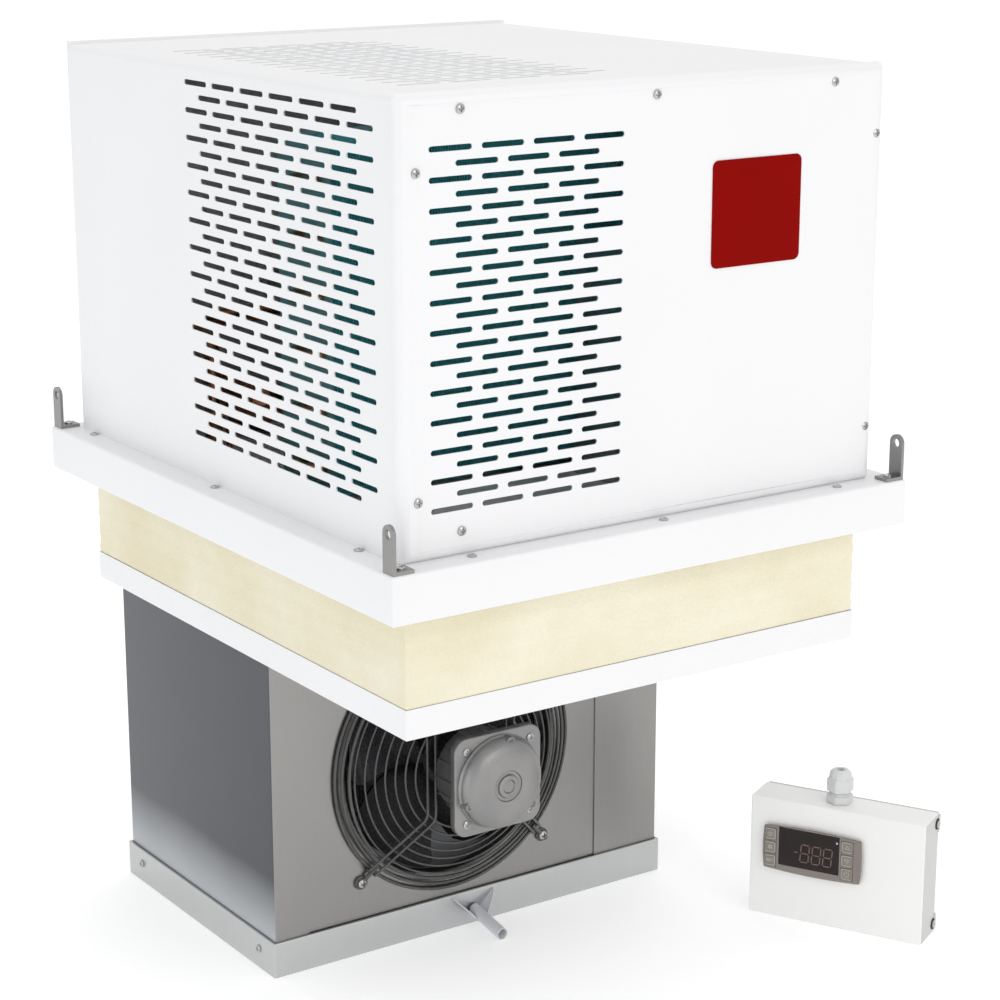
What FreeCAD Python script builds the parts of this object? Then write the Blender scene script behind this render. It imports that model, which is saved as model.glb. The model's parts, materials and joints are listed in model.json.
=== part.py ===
"""Ceiling refrigeration unit that drops through a cold room's roof, with its remote control box.

Lengths are in millimetres. +Z is up and the evaporator fan blows towards -Y. The origin is the
middle of the drip tray's flat base. The machine housing stands on a flanged frame above an
insulated plug, and the evaporator hangs under the plug.
"""

import FreeCAD, Part

import math
import os
import re

import Sketcher
from FreeCAD import Placement, Rotation, Vector

SIZES = {
    # Machine housing on top
    "casing_width": 505,
    "casing_depth": 590,
    "casing_height": 375,
    "casing_setback": 128,
    "casing_sheet": 1.2,
    "casing_fold": 22,
    "rear_lip": 3,
    # Ventilation slots
    "slot_length": 41,
    "slot_height": 4.8,
    "slot_pitch": 50,
    "slot_row_pitch": 12.15,
    "front_slot_left": 28.6,
    "front_slot_top": 43,
    "front_slot_rows": 25,
    "front_slot_columns": 4,
    "side_slot_front": 40,
    "side_slot_top": 16.3,
    "side_slot_rows": 27,
    "side_slot_columns": 6,
    "top_slot_left": 45,
    "top_slot_front": 70,
    "top_slot_rows": 9,
    "top_slot_columns": 4,
    "top_slot_row_pitch": 48.6,
    "rear_slot_side": 90,
    "rear_slot_top": 120,
    "rear_slot_rows": 6,
    "rear_slot_columns": 5,
    # Flanged frame, foam plug and its plate
    "frame_overhang": 24,
    "frame_height": 42,
    "frame_sheet": 1.5,
    "frame_lip": 28,
    "plug_inset": 31,
    "plug_gap": 0.3,
    "foam_height": 85,
    "plate_height": 27,
    "plate_sheet": 1,
    "pipe_duct_diameter": 44,
    "pipe_duct_wall": 2,
    "pipe_duct_x": -200,
    "pipe_duct_y": -20,
    # Evaporator box under the plug
    "box_width": 452,
    "box_depth": 300,
    "box_height": 287,
    "box_sheet": 1.2,
    "box_fold": 18,
    "box_top_fold": 10,
    "left_return": 37,
    "right_return": 79,
    "panel_overlap": 9,
    # Drip tray and drain
    "tray_height": 35,
    "tray_overhang": 3,
    "tray_sheet": 1.2,
    "tray_hem": 8,
    "side_into_tray": 12,
    "spout_width": 50,
    "spout_height": 24,
    "spout_reach": 14,
    "spout_low": 1,
    "spout_wall": 1.2,
    "drain_diameter": 12,
    "drain_bore": 10,
    "drain_length": 52,
    "drain_x": -4,
    "drain_height": 8,
    # Evaporator fan, guard and motor
    "fan_x": -25,
    "fan_z": 179,
    "fan_diameter": 230,
    "fan_tip_gap": 4,
    "fan_hub_diameter": 62,
    "fan_hub_length": 26,
    "fan_blade_width": 84,
    "fan_blade_sheet": 2.4,
    "fan_blade_pitch": 30,
    "fan_blade_twist": 8,
    "fan_blade_root": 6,
    "fan_blade_trim": 8,
    "fan_root_share": 0.62,
    "fan_tip_share": 1.15,
    "fan_blades": 5,
    "inlet_depth": 14,
    "guard_diameter": 268,
    "guard_wire": 4.2,
    "guard_ring_pitch": 21,
    "guard_rings": 3,
    "guard_rise": 27,
    "guard_leg_offset": 106,
    "motor_flange": 98,
    "motor_flange_thick": 9,
    "motor_body_diameter": 84,
    "motor_body_length": 36,
    "motor_dome_diameter": 88,
    "motor_dome_height": 17,
    "motor_dome_slope": 5,
    "motor_dome_step": 13,
    "motor_boss_diameter": 22,
    "motor_boss_height": 3,
    "motor_foot": 6,
    "motor_bore": 9.9,
    "shaft_diameter": 9.8,
    # Evaporator coil
    "evaporator_length": 384,
    "evaporator_depth": 100,
    "evaporator_height": 262,
    "evaporator_y": 22,
    "fin_pitch": 18,
    "fin_thick": 0.8,
    "coil_core": 9,
    "coil_tube": 9.52,
    "coil_row_pitch": 50,
    "end_plate_sheet": 1.5,
    "end_plate_margin": 7,
    "heater_diameter": 8,
    "heater_bend": 10,
    # Condenser coil, shroud and fan
    "condenser_length": 400,
    "condenser_depth": 66,
    "condenser_height": 310,
    "condenser_y": -233,
    "shroud_depth": 26,
    "shroud_sheet": 1.2,
    "condenser_fan_diameter": 254,
    "condenser_hub_diameter": 70,
    "condenser_motor_diameter": 92,
    "condenser_motor_length": 62,
    "condenser_motor_bevel": 6,
    "bracket_width": 24,
    "bracket_thick": 3,
    "bracket_clear": 18,
    # Compressor
    "compressor_x": 96,
    "compressor_y": 75,
    "compressor_diameter": 168,
    "compressor_height": 196,
    "compressor_wall_radius": 38,
    "compressor_seam": 3,
    "compressor_seam_height": 5,
    "compressor_base_width": 214,
    "compressor_base_depth": 134,
    "compressor_base_sheet": 3.5,
    "grommet_diameter": 26,
    "grommet_height": 16,
    "terminal_width": 58,
    "terminal_height": 52,
    "terminal_depth": 34,
    # Refrigerant lines and the drier
    "suction_diameter": 15.9,
    "suction_offset": 6,
    "suction_under": 20,
    "liquid_diameter": 9.5,
    "liquid_y": -75,
    "capillary_diameter": 6,
    "capillary_offset": 10,
    "capillary_side": 9,
    "pipe_sides": 6,
    "pipe_bend": 14,
    "capillary_bend": 7,
    "pipe_out": 12.5,
    "pipe_lane": 38.5,
    "outlet_offset": 21,
    "drier_diameter": 42,
    "drier_length": 104,
    "drier_x": -120,
    "drier_y": 20,
    "drier_saddle": 28,
    # Electrical box in the housing, at the right of the condenser
    "electric_width": 200,
    "electric_depth": 110,
    "electric_height": 220,
    "electric_lid": 1.5,
    "electric_right": 8,
    "electric_front": 60,
    "gland_diameter": 22,
    "gland_length": 22,
    "gland_bore": 9,
    "gland_side": 60,
    "gland_rise": 50,
    # Lifting lugs on the frame's corners
    "lug_width": 16,
    "lug_thick": 3,
    "lug_height": 41,
    "lug_foot": 20,
    "lug_hole": 8,
    "lug_hole_drop": 8,
    "lug_in": 2.5,
    "lug_end": 10,
    # Fasteners and badge plate
    "screw_head": 8,
    "screw_rise": 2.4,
    "screw_sides": 8,
    "panel_screw_top": 13,
    "panel_screw_in": 58,
    "panel_screw_left": 16,
    "panel_screw_right": 8,
    "panel_screw_upper": 60.6,
    "panel_screw_lower": 325,
    "panel_screw_foot": 20.5,
    "frame_screw_end": 8.5,
    "frame_screw_side": 5,
    "frame_screw_x": 8,
    "frame_screw_y": 12,
    "frame_screw_pitch_x": 198,
    "frame_screw_pitch_y": 249,
    "tray_screw_in": 27,
    "tray_screw_height": 20,
    "badge_width": 98,
    "badge_height": 92,
    "badge_thick": 1,
    "badge_left": 313,
    "badge_top": 72,
    # Remote control box, whose front is turned about the vertical
    "control_x": 240,
    "control_y": -286,
    "control_turn": -62,
    "control_width": 180,
    "control_height": 125,
    "control_depth": 44,
    "control_sheet": 1.2,
    "control_gap": 0.3,
    "control_tab": 20,
    "control_notch": 6,
    "control_mount_hole": 5,
    "control_mount_inset": 18,
    "facia_width": 103,
    "facia_height": 49,
    "facia_bulge": 3,
    "facia_shoulder": 14,
    "facia_thick": 5,
    "facia_left": 15,
    "facia_drop": 25,
    "facia_body_depth": 26,
    "window_left": 17,
    "window_drop": 1.5,
    "window_width": 63,
    "window_height": 40,
    "window_thick": 1.2,
    "key_left_in": 8.2,
    "key_right_in": 14.8,
    "key_width": 12,
    "key_height": 12,
    "key_pitch": 14,
    "key_rise": 0.6,
    "key_travel": 0.5,
    "key_gap": 0.3,
    "key_depth": 3,
    "control_gland_x": 84,
    "control_gland_hex": 27,
    "control_gland_height": 34,
    "control_gland_bore": 11,
}

# Places worked out from the sizes, each by one formula
PLACES = {
    "plate_low": "tray_height + box_height",
    "foam_low": "plate_low + plate_height",
    "frame_low": "foam_low + foam_height",
    "deck": "frame_low + frame_height",
    "casing_top": "deck + casing_height",
    "casing_front": "-casing_setback - casing_depth / 2",
    "casing_rear": "-casing_setback + casing_depth / 2",
    "casing_side": "casing_width / 2",
    "frame_width": "casing_width + 2 * frame_overhang",
    "frame_depth": "casing_depth + 2 * frame_overhang",
    "plug_width": "frame_width - 2 * plug_inset",
    "plug_depth": "frame_depth - 2 * plug_inset",
    "box_side": "box_width / 2",
    "box_front": "-box_depth / 2",
    "box_rear": "box_depth / 2",
    "side_low": "tray_height - side_into_tray",
    "tray_width": "box_width + 2 * tray_overhang",
    "tray_depth": "box_depth + 2 * tray_overhang",
    "panel_left": "-box_side + left_return - panel_overlap",
    "panel_right": "box_side - right_return + panel_overlap",
    "panel_front": "box_front + box_sheet",
    "inlet_radius": "fan_diameter / 2 + fan_tip_gap",
    "evaporator_high": "plate_low - end_plate_margin",
    "evaporator_low": "evaporator_high - evaporator_height",
    "condenser_fan_y": "condenser_y + condenser_depth + shroud_depth",
    "shroud_height": "condenser_height + end_plate_margin",
    "condenser_fan_height": "deck + shroud_height / 2",
    "compressor_low": "deck + grommet_height",
}

HOME = {word: "sizes" for word in SIZES} | {word: "places" for word in PLACES}

doc = FreeCAD.newDocument("refrigeration_unit")
sizes = doc.addObject("Spreadsheet::Sheet", "sizes")
places = doc.addObject("Spreadsheet::Sheet", "places")
subparts = {}


def spell(formula):
    """Writes each alias in a formula with the sheet that holds it."""
    return re.sub(
        r"[a-z]\w*",
        lambda word: f"{HOME[word[0]]}.{word[0]}" if word[0] in HOME else word[0],
        str(formula),
    )


def fill_sheets():
    """Writes the driving sizes as plain numbers and the places as formulas on them."""
    for row, (word, number) in enumerate(SIZES.items(), 1):
        sizes.set(f"A{row}", word.replace("_", " "))
        sizes.set(f"B{row}", str(number))
        sizes.setAlias(f"B{row}", word)
    for row, (word, formula) in enumerate(PLACES.items(), 1):
        places.set(f"A{row}", word.replace("_", " "))
        places.setAlias(f"B{row}", word)
        places.set(f"B{row}", "=" + spell(formula).replace("places.", ""))
    doc.recompute()


def bind(thing, **formulas):
    """Ties properties to formulas; a double underscore stands for a dot."""
    for name, formula in formulas.items():
        thing.setExpression(name.replace("__", "."), spell(formula))
    return thing


def place(thing, x="0", y="0", z="0", turn=None):
    """Puts an object at a place given by formulas, after an optional turn."""
    if turn:
        thing.Placement = Placement(Vector(), turn)
    for axis, formula in zip("xyz", (x, y, z)):
        thing.setExpression(f"Placement.Base.{axis}", spell(formula))
    return thing


def keep(label, thing):
    """Names an object as a finished sub-part."""
    thing.Label = label
    subparts[label] = thing
    return thing


def new_body(name, **where):
    body = doc.addObject("PartDesign::Body", name)
    body.AllowCompound = True
    return place(body, **where)


def origin_feature(body, role):
    return next(f for f in body.Origin.OriginFeatures if f.Role == role)


def sketch(body, role="XY_Plane", rise="0"):
    """An empty sketch on one of the body's own origin planes, or above it."""
    drawn = body.newObject("Sketcher::SketchObject", body.Name + "_sketch")
    drawn.AttachmentSupport = [(origin_feature(body, role), "")]
    drawn.MapMode = "FlatFace"
    drawn.setExpression("AttachmentOffset.Base.z", spell(rise))
    return drawn


def hold(drawn, geometry, point, x, y):
    """Fixes a point of the sketch at a place given by two formulas."""
    for kind, axis, formula in (("DistanceX", -2, x), ("DistanceY", -1, y)):
        if formula == "0":
            drawn.addConstraint(Sketcher.Constraint("PointOnObject", geometry, point, axis))
            continue
        number = drawn.addConstraint(Sketcher.Constraint(kind, -1, 1, geometry, point, 5.0))
        drawn.setExpression(f"Constraints[{number}]", spell(formula))


def outline(drawn, corners):
    """Draws a closed run of straight lines through corners given as pairs of formulas."""
    first = drawn.GeometryCount
    count = len(corners)
    turn = 2 * math.pi / count
    start = [Vector(10 * math.cos(i * turn), 10 * math.sin(i * turn)) for i in range(count)]
    lines = [Part.LineSegment(start[i], start[(i + 1) % count]) for i in range(count)]
    drawn.addGeometry(lines, False)
    joins = [(first + i, 2, first + (i + 1) % count, 1) for i in range(count)]
    drawn.addConstraint([Sketcher.Constraint("Coincident", *join) for join in joins])
    for i, (x, y) in enumerate(corners):
        hold(drawn, first + i, 1, x, y)
    return drawn


def rectangle(drawn, left, low, right, high):
    return outline(drawn, [(left, low), (right, low), (right, high), (left, high)])


def centred(drawn, wide, high, x="0", y="0"):
    """Draws a rectangle about a centre."""
    return rectangle(
        drawn,
        f"{x} - ({wide}) / 2",
        f"{y} - ({high}) / 2",
        f"{x} + ({wide}) / 2",
        f"{y} + ({high}) / 2",
    )


def ring(drawn, diameter, x="0", y="0"):
    """Draws a circle."""
    circle = drawn.addGeometry(Part.Circle(Vector(), Vector(0, 0, 1), 5.0), False)
    number = drawn.addConstraint(Sketcher.Constraint("Diameter", circle, 10.0))
    drawn.setExpression(f"Constraints[{number}]", spell(diameter))
    hold(drawn, circle, 3, x, y)
    return drawn


def pad(body, drawn, length, back=False):
    feature = body.newObject("PartDesign::Pad", body.Name + "_pad")
    feature.Profile = drawn
    feature.Reversed = back
    return bind(feature, Length=length)


def pocket(body, drawn, length, back=False):
    feature = body.newObject("PartDesign::Pocket", body.Name + "_pocket")
    feature.Profile = drawn
    feature.Reversed = back
    return bind(feature, Length=length)


def spin(body, drawn, kind="Revolution", axis="V_Axis"):
    """Turns a profile once round one of its sketch's axes."""
    feature = body.newObject("PartDesign::" + kind, body.Name + "_spin")
    feature.Profile = drawn
    feature.ReferenceAxis = (drawn, [axis])
    feature.Angle = 360
    return feature


def row(body, original, drawn, pitch, count, axis="H_Axis", pitch_2=None, count_2=None):
    """Repeats a feature in one or two directions of its sketch."""
    pattern = body.newObject("PartDesign::LinearPattern", body.Name + "_row")
    pattern.Originals = [original]
    pattern.Direction = (drawn, [axis])
    bind(pattern, Length=f"({pitch}) * ({count} - 1)", Occurrences=count)
    if pitch_2:
        pattern.Direction2 = (drawn, ["V_Axis" if axis == "H_Axis" else "H_Axis"])
        bind(pattern, Length2=f"({pitch_2}) * ({count_2} - 1)", Occurrences2=count_2)
    body.Tip = pattern
    return pattern


def circle_of(body, originals, drawn, count, axis="N_Axis"):
    """Repeats features round an axis of a sketch."""
    pattern = body.newObject("PartDesign::PolarPattern", body.Name + "_circle")
    pattern.Originals = originals
    pattern.Axis = (drawn, [axis])
    pattern.Angle = 360
    bind(pattern, Occurrences=count)
    body.Tip = pattern
    return pattern


def soften(body, edges, radius, kind="Fillet", size_name="Radius"):
    """Rounds or bevels the edges that a test picks."""
    doc.recompute()
    base = body.Tip
    chosen = [f"Edge{i}" for i, edge in enumerate(base.Shape.Edges, 1) if edges(edge)]
    feature = body.newObject("PartDesign::" + kind, body.Name + "_edge")
    feature.Base = (base, chosen)
    return bind(feature, **{size_name: radius})


def along(edge, axis):
    """Whether an edge is straight and runs along X, Y or Z, given as 0, 1 or 2."""
    if len(edge.Vertexes) < 2 or "Line" not in edge.Curve.TypeId:
        return False
    run = edge.Vertexes[1].Point - edge.Vertexes[0].Point
    return abs(abs(run[axis]) - run.Length) < 1e-6


def staggered_slots(body, role, left, low, columns, rows, back, row_pitch="slot_row_pitch"):
    """Cuts rows of slots, every second row shifted by half a pitch and shorter by one slot."""
    for shift, fewer in ((0, 0), (1, 1)):
        drawn = sketch(body, role)
        start = f"({left}) + {shift} * slot_pitch / 2"
        base = f"({low}) + {shift} * {row_pitch}"
        rectangle(drawn, start, base, f"{start} + slot_length", f"{base} + slot_height")
        cut = pocket(body, drawn, "3 * casing_sheet", back)
        many = f"floor(({rows} + {1 - fewer}) / 2)"
        row(body, cut, drawn, "slot_pitch", f"({columns} - {fewer})", "H_Axis",
            f"2 * {row_pitch}", many)


def group(label, shapes):
    """Keeps like loose pieces as one sub-part of separate solids."""
    feature = doc.addObject("Part::Feature", label)
    feature.Shape = Part.makeCompound(shapes)
    return keep(label, feature)


def put(shape, x=0.0, y=0.0, z=0.0, turn=None):
    """A copy of a shape, turned and moved."""
    copy = shape.copy()
    copy.Placement = Placement(Vector(x, y, z), turn or Rotation()).multiply(copy.Placement)
    return copy


def prism(sides, diameter, height):
    """An upright prism with a many-sided outline, its corners on the diameter."""
    turn = 2 * math.pi / sides
    radius = diameter / 2
    points = [Vector(radius * math.cos(i * turn), radius * math.sin(i * turn)) for i in range(sides)]
    return Part.Face(Part.makePolygon(points + points[:1])).extrude(Vector(0, 0, height))


def screw_shape():
    """A screw's head, kept to few faces, standing on the XY plane."""
    return prism(int(sizes.screw_sides), sizes.screw_head, sizes.screw_rise)


FACE_FRONT = Rotation(Vector(1, 0, 0), 90)
FACE_REAR = Rotation(Vector(1, 0, 0), -90)
FACE_LEFT = Rotation(Vector(0, 1, 0), -90)
FACE_RIGHT = Rotation(Vector(0, 1, 0), 90)


def make_hood():
    """One sheet folded over the machine: two sides and a top, with inward folds at both ends."""
    body = new_body("hood", y="casing_front + casing_sheet", z="deck")
    run = "(casing_depth - 2 * casing_sheet)"
    inner = "(casing_side - casing_sheet)"
    crown = "(casing_height - casing_sheet)"
    drawn = sketch(body, "XZ_Plane")
    outline(drawn, [("-casing_side", "0"), (f"-{inner}", "0"), (f"-{inner}", crown),
                    (inner, crown), (inner, "0"), ("casing_side", "0"),
                    ("casing_side", "casing_height"), ("-casing_side", "casing_height")])
    pad(body, drawn, run, back=True)
    for rise in ("-casing_sheet", f"-{run}"):
        fold = sketch(body, "XZ_Plane", rise)
        reach = "(casing_side - casing_fold)"
        under = "(casing_height - casing_fold)"
        outline(fold, [(f"-{inner}", "0"), (f"-{reach}", "0"), (f"-{reach}", under),
                       (reach, under), (reach, "0"), (inner, "0"),
                       (inner, crown), (f"-{inner}", crown)])
        pad(body, fold, "casing_sheet")
    side_base = ("casing_height - side_slot_top - slot_height / 2"
                 " - (side_slot_rows - 1) * slot_row_pitch")
    cut_side_slots(body, side_base)
    cut_top_slots(body)
    keep("hood", body)


def cut_side_slots(body, base):
    """Cuts the left side's slots, through the left wall only."""
    for shift in (0, 1):
        drawn = sketch(body, "YZ_Plane", "-casing_side + 2 * casing_sheet")
        start = f"side_slot_front + {shift} * slot_pitch / 2"
        low = f"{base} + {shift} * slot_row_pitch"
        rectangle(drawn, start, low, f"{start} + slot_length", f"{low} + slot_height")
        cut = pocket(body, drawn, "3 * casing_sheet")
        many = f"floor((side_slot_rows + {1 - shift}) / 2)"
        row(body, cut, drawn, "slot_pitch", "side_slot_columns", "H_Axis",
            "2 * slot_row_pitch", many)


def cut_top_slots(body):
    """Cuts the staggered slots of the top, which run across the unit."""
    for shift in (0, 1):
        drawn = sketch(body, "XY_Plane", "casing_height + casing_sheet")
        start = f"-casing_side + top_slot_left + {shift} * slot_pitch / 2"
        low = f"top_slot_front + {shift} * top_slot_row_pitch"
        rectangle(drawn, start, low, f"{start} + slot_length", f"{low} + slot_height")
        cut = pocket(body, drawn, "3 * casing_sheet")
        many = f"floor((top_slot_rows + {1 - shift}) / 2)"
        row(body, cut, drawn, "slot_pitch", "top_slot_columns", "H_Axis",
            "2 * top_slot_row_pitch", many)


def make_front_panel():
    """A flat sheet screwed to the hood's front folds, with its slots at the left."""
    body = new_body("front_panel", y="casing_front", z="deck")
    drawn = sketch(body, "XZ_Plane")
    rectangle(drawn, "-casing_side", "0", "casing_side", "casing_height")
    pad(body, drawn, "casing_sheet", back=True)
    low = ("casing_height - front_slot_top - slot_height / 2"
           " - (front_slot_rows - 1) * slot_row_pitch")
    staggered_slots(body, "XZ_Plane", "-casing_side + front_slot_left", low,
                    "front_slot_columns", "front_slot_rows", back=False)
    keep("front_panel", body)


def make_rear_panel():
    """The rear sheet, whose top lip stands a little above the hood."""
    body = new_body("rear_panel", y="casing_rear", z="deck")
    drawn = sketch(body, "XZ_Plane")
    rectangle(drawn, "-casing_side", "0", "casing_side", "casing_height + rear_lip")
    pad(body, drawn, "casing_sheet")
    low = "casing_height - rear_slot_top - (rear_slot_rows - 1) * slot_row_pitch"
    staggered_slots(body, "XZ_Plane", "-casing_side + rear_slot_side", low,
                    "rear_slot_columns", "rear_slot_rows", back=True)
    hole = sketch(body, "XZ_Plane")
    ring(hole, "gland_diameter * 0.7", "-casing_side + gland_side", "gland_rise")
    pocket(body, hole, "3 * casing_sheet", back=True)
    keep("rear_panel", body)


def make_base_frame():
    """The flanged frame: a deck with a deep skirt and a lip under it that rests on the roof."""
    body = new_body("base_frame", y="-casing_setback", z="frame_low")
    skirt = sketch(body)
    centred(skirt, "frame_width", "frame_depth")
    centred(skirt, "frame_width - 2 * frame_sheet", "frame_depth - 2 * frame_sheet")
    pad(body, skirt, "frame_height")
    deck = sketch(body, rise="frame_height - frame_sheet")
    centred(deck, "frame_width - frame_sheet", "frame_depth - frame_sheet")
    ring(deck, "pipe_duct_diameter + 2 * plug_gap", "pipe_duct_x", "pipe_duct_y + casing_setback")
    pad(body, deck, "frame_sheet")
    lip = sketch(body)
    centred(lip, "frame_width - frame_sheet", "frame_depth - frame_sheet")
    centred(lip, "frame_width - 2 * frame_lip", "frame_depth - 2 * frame_lip")
    pad(body, lip, "frame_sheet")
    keep("base_frame", body)


def make_plug():
    """The foam block that fills the roof opening, and the white pan that closes it below."""
    inside = "2 * plate_sheet + 2 * plug_gap"
    foam = new_body("insulation_plug", y="-casing_setback", z="foam_low")
    block = sketch(foam)
    centred(block, "plug_width", "plug_depth")
    pad(foam, block, "foam_height + frame_height - frame_sheet")
    filling = sketch(foam)
    centred(filling, f"plug_width - ({inside})", f"plug_depth - ({inside})")
    pad(foam, filling, "plate_height - plate_sheet", back=True)
    hole = sketch(foam, rise="-plate_height")
    ring(hole, "pipe_duct_diameter", "pipe_duct_x", "pipe_duct_y + casing_setback")
    pocket(foam, hole, "foam_height + frame_height + plate_height", back=True)
    keep("insulation_plug", foam)

    pan = new_body("plug_plate", y="-casing_setback", z="plate_low")
    outer = sketch(pan)
    centred(outer, "plug_width", "plug_depth")
    pad(pan, outer, "plate_height")
    hollow = sketch(pan, rise="plate_height")
    centred(hollow, "plug_width - 2 * plate_sheet", "plug_depth - 2 * plate_sheet")
    pocket(pan, hollow, "plate_height - plate_sheet")
    hole = sketch(pan, rise="plate_sheet")
    ring(hole, "pipe_duct_diameter", "pipe_duct_x", "pipe_duct_y + casing_setback")
    pocket(pan, hole, "2 * plate_sheet")
    keep("plug_plate", pan)

    duct = new_body("pipe_duct", x="pipe_duct_x", y="pipe_duct_y", z="plate_low")
    wall = sketch(duct)
    ring(wall, "pipe_duct_diameter")
    ring(wall, "pipe_duct_diameter - 2 * pipe_duct_wall")
    pad(duct, wall, "plate_height + foam_height + frame_height")
    keep("pipe_duct", duct)


def make_evaporator_sides():
    """Two aluminium side sheets, each folded inwards at the front, the rear and the top."""
    for side, hand, front in (("left", "-", "left_return"), ("right", "", "right_return")):
        body = new_body(f"evaporator_side_{side}", z="side_low")
        outer, inner = f"{hand}box_side", f"{hand}(box_side - box_sheet)"
        drawn = sketch(body)
        front_edge = f"{hand}(box_side - {front})"
        rear_edge = f"{hand}(box_side - box_fold)"
        outline(drawn, [(outer, "box_front"), (front_edge, "box_front"),
                        (front_edge, "box_front + box_sheet"), (inner, "box_front + box_sheet"),
                        (inner, "box_rear - box_sheet"), (rear_edge, "box_rear - box_sheet"),
                        (rear_edge, "box_rear"), (outer, "box_rear")])
        rise = "(box_height + side_into_tray)"
        pad(body, drawn, rise)
        lid = sketch(body, rise=f"{rise} - box_sheet")
        lid_edge = f"{hand}(box_side - box_top_fold)"
        outline(lid, [(outer, "box_front"), (lid_edge, "box_front"),
                      (lid_edge, "box_rear"), (outer, "box_rear")])
        pad(body, lid, "box_sheet")
        keep(f"evaporator_side_{side}", body)


def make_fan_panel():
    """The sheet between the side returns, with the drawn inlet ring that the fan turns in."""
    body = new_body("fan_panel", x="fan_x", y="panel_front", z="fan_z")
    drawn = sketch(body, "XZ_Plane")
    rectangle(drawn, "panel_left - fan_x", "side_low - fan_z",
              "panel_right - fan_x", "plate_low - fan_z")
    ring(drawn, "2 * inlet_radius")
    pad(body, drawn, "box_sheet", back=True)
    lip = sketch(body, "XZ_Plane")
    ring(lip, "2 * inlet_radius + 2 * box_sheet")
    ring(lip, "2 * inlet_radius")
    pad(body, lip, "inlet_depth", back=True)
    keep("fan_panel", body)


def diamond(drawn, radius, height, wire):
    """Draws the section of a wire as a square set on its corner."""
    half = f"({wire}) / 2"
    outline(drawn, [(f"{radius} - {half}", height), (radius, f"{height} - {half}"),
                    (f"{radius} + {half}", height), (radius, f"{height} + {half}")])


def make_fan_guard():
    """The wire basket: rings that rise towards the middle, two arms beside the motor, four legs."""
    body = new_body("fan_guard", x="fan_x", y="panel_front", z="fan_z", turn=FACE_FRONT)
    outer = "guard_diameter / 2"
    near = "(motor_flange / 2 - guard_wire)"
    start = f"({near} * sqrt(2))"
    top = "(guard_wire * 1.5 + guard_rise)"
    slope = f"guard_rise / ({outer} + guard_wire - {start})"
    drawn = sketch(body, "XZ_Plane")
    for index in range(int(sizes.guard_rings) + 1):
        radius = f"({outer} - {index} * guard_ring_pitch)"
        height = f"({top} - guard_wire / 2 - ({radius} - {start}) * {slope})"
        diamond(drawn, radius, height, "guard_wire / 2" if index else "guard_wire")
    spin(body, drawn)
    half = "guard_wire / 2"
    for hand in ("-", ""):
        arm = sketch(body, "XY_Plane", f"{top} - guard_wire")
        inner_edge = f"{hand}({near} - {half})"
        outer_edge = f"{hand}({near} + {half})"
        rectangle(arm, inner_edge, "-motor_flange / 2", outer_edge, "motor_flange / 2")
        pad(body, arm, "guard_wire * 1.3")
    for quarter in range(4):
        add_guard_leg(body, 45 + 90 * quarter, start, top)
    keep("fan_guard", body)


def add_guard_leg(body, angle, start, top):
    """Adds one leg, from beside the motor down the basket to its foot on the panel."""
    drawn = body.newObject("Sketcher::SketchObject", body.Name + "_leg")
    drawn.AttachmentSupport = [(origin_feature(body, "XZ_Plane"), "")]
    drawn.MapMode = "FlatFace"
    drawn.AttachmentOffset = Placement(Vector(), Rotation(Vector(0, 1, 0), angle))
    foot = "guard_leg_offset * sqrt(2)"
    edge = "guard_diameter / 2"
    outline(drawn, [(start, f"{top} - guard_wire"), (f"{edge} + guard_wire", "guard_wire * 0.6"),
                    (f"{foot} + screw_head", "0"), (f"{foot} + screw_head", "guard_wire * 0.6"),
                    (f"{edge} + guard_wire", "guard_wire * 1.6"), (start, top)])
    leg = body.newObject("PartDesign::Pad", body.Name + "_leg_pad")
    leg.Profile = drawn
    leg.SideType = "Symmetric"
    bind(leg, Length="guard_wire * 1.6")


def make_rotor(label, diameter, hub, hub_length, width, count, **where):
    """A fan wheel: a hub with a shaft and twisted blades trimmed round by their sweep."""
    body = new_body(label, turn=FACE_FRONT, **where)
    middle = sketch(body, rise=f"-({hub_length}) / 2")
    ring(middle, hub)
    pad(body, middle, hub_length)
    root = blade_section(body, f"({hub}) / 2 - fan_blade_root", f"({width}) * fan_root_share",
                         "fan_blade_pitch + fan_blade_twist")
    tip = blade_section(body, f"({diameter}) / 2 + fan_blade_trim", f"({width}) * fan_tip_share",
                        "fan_blade_pitch - fan_blade_twist")
    blade = body.newObject("PartDesign::AdditiveLoft", label + "_blade")
    blade.Profile = root
    blade.Sections = [tip]
    blade.Ruled = True
    circle_of(body, [blade], middle, count)
    trim = sketch(body, "XZ_Plane")
    rectangle(trim, f"({diameter}) / 2", "-fan_blade_width", f"({diameter})", "fan_blade_width")
    spin(body, trim, "Groove")
    return body


def blade_section(body, radius, width, pitch):
    """Draws a blade's section across its radius: a thin strip turned by the pitch angle."""
    drawn = sketch(body, "YZ_Plane", radius)
    reach = f"({width}) / 2"
    half = "fan_blade_sheet / 2"
    run, rise = f"cos({pitch})", f"sin({pitch})"
    corners = []
    for end, face in ((-1, -1), (1, -1), (1, 1), (-1, 1)):
        corners.append((f"{end} * {reach} * {run} - {face} * {half} * {rise}",
                        f"{end} * {reach} * {rise} + {face} * {half} * {run}"))
    return outline(drawn, corners)


def add_shaft(body, length_front, length_rear):
    """Adds the shaft that turns with the wheel."""
    drawn = sketch(body, rise=f"-({length_rear})")
    ring(drawn, "shaft_diameter")
    pad(body, drawn, f"({length_rear}) + ({length_front})")


def make_evaporator_fan():
    body = make_rotor("evaporator_fan", "fan_diameter", "fan_hub_diameter", "fan_hub_length",
                      "fan_blade_width", "fan_blades", x="fan_x", y="panel_front + inlet_depth",
                      z="fan_z")
    add_shaft(body, "inlet_depth + guard_rise + motor_body_length * 0.6", "fan_hub_length / 2")
    keep("evaporator_fan", body)


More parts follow.
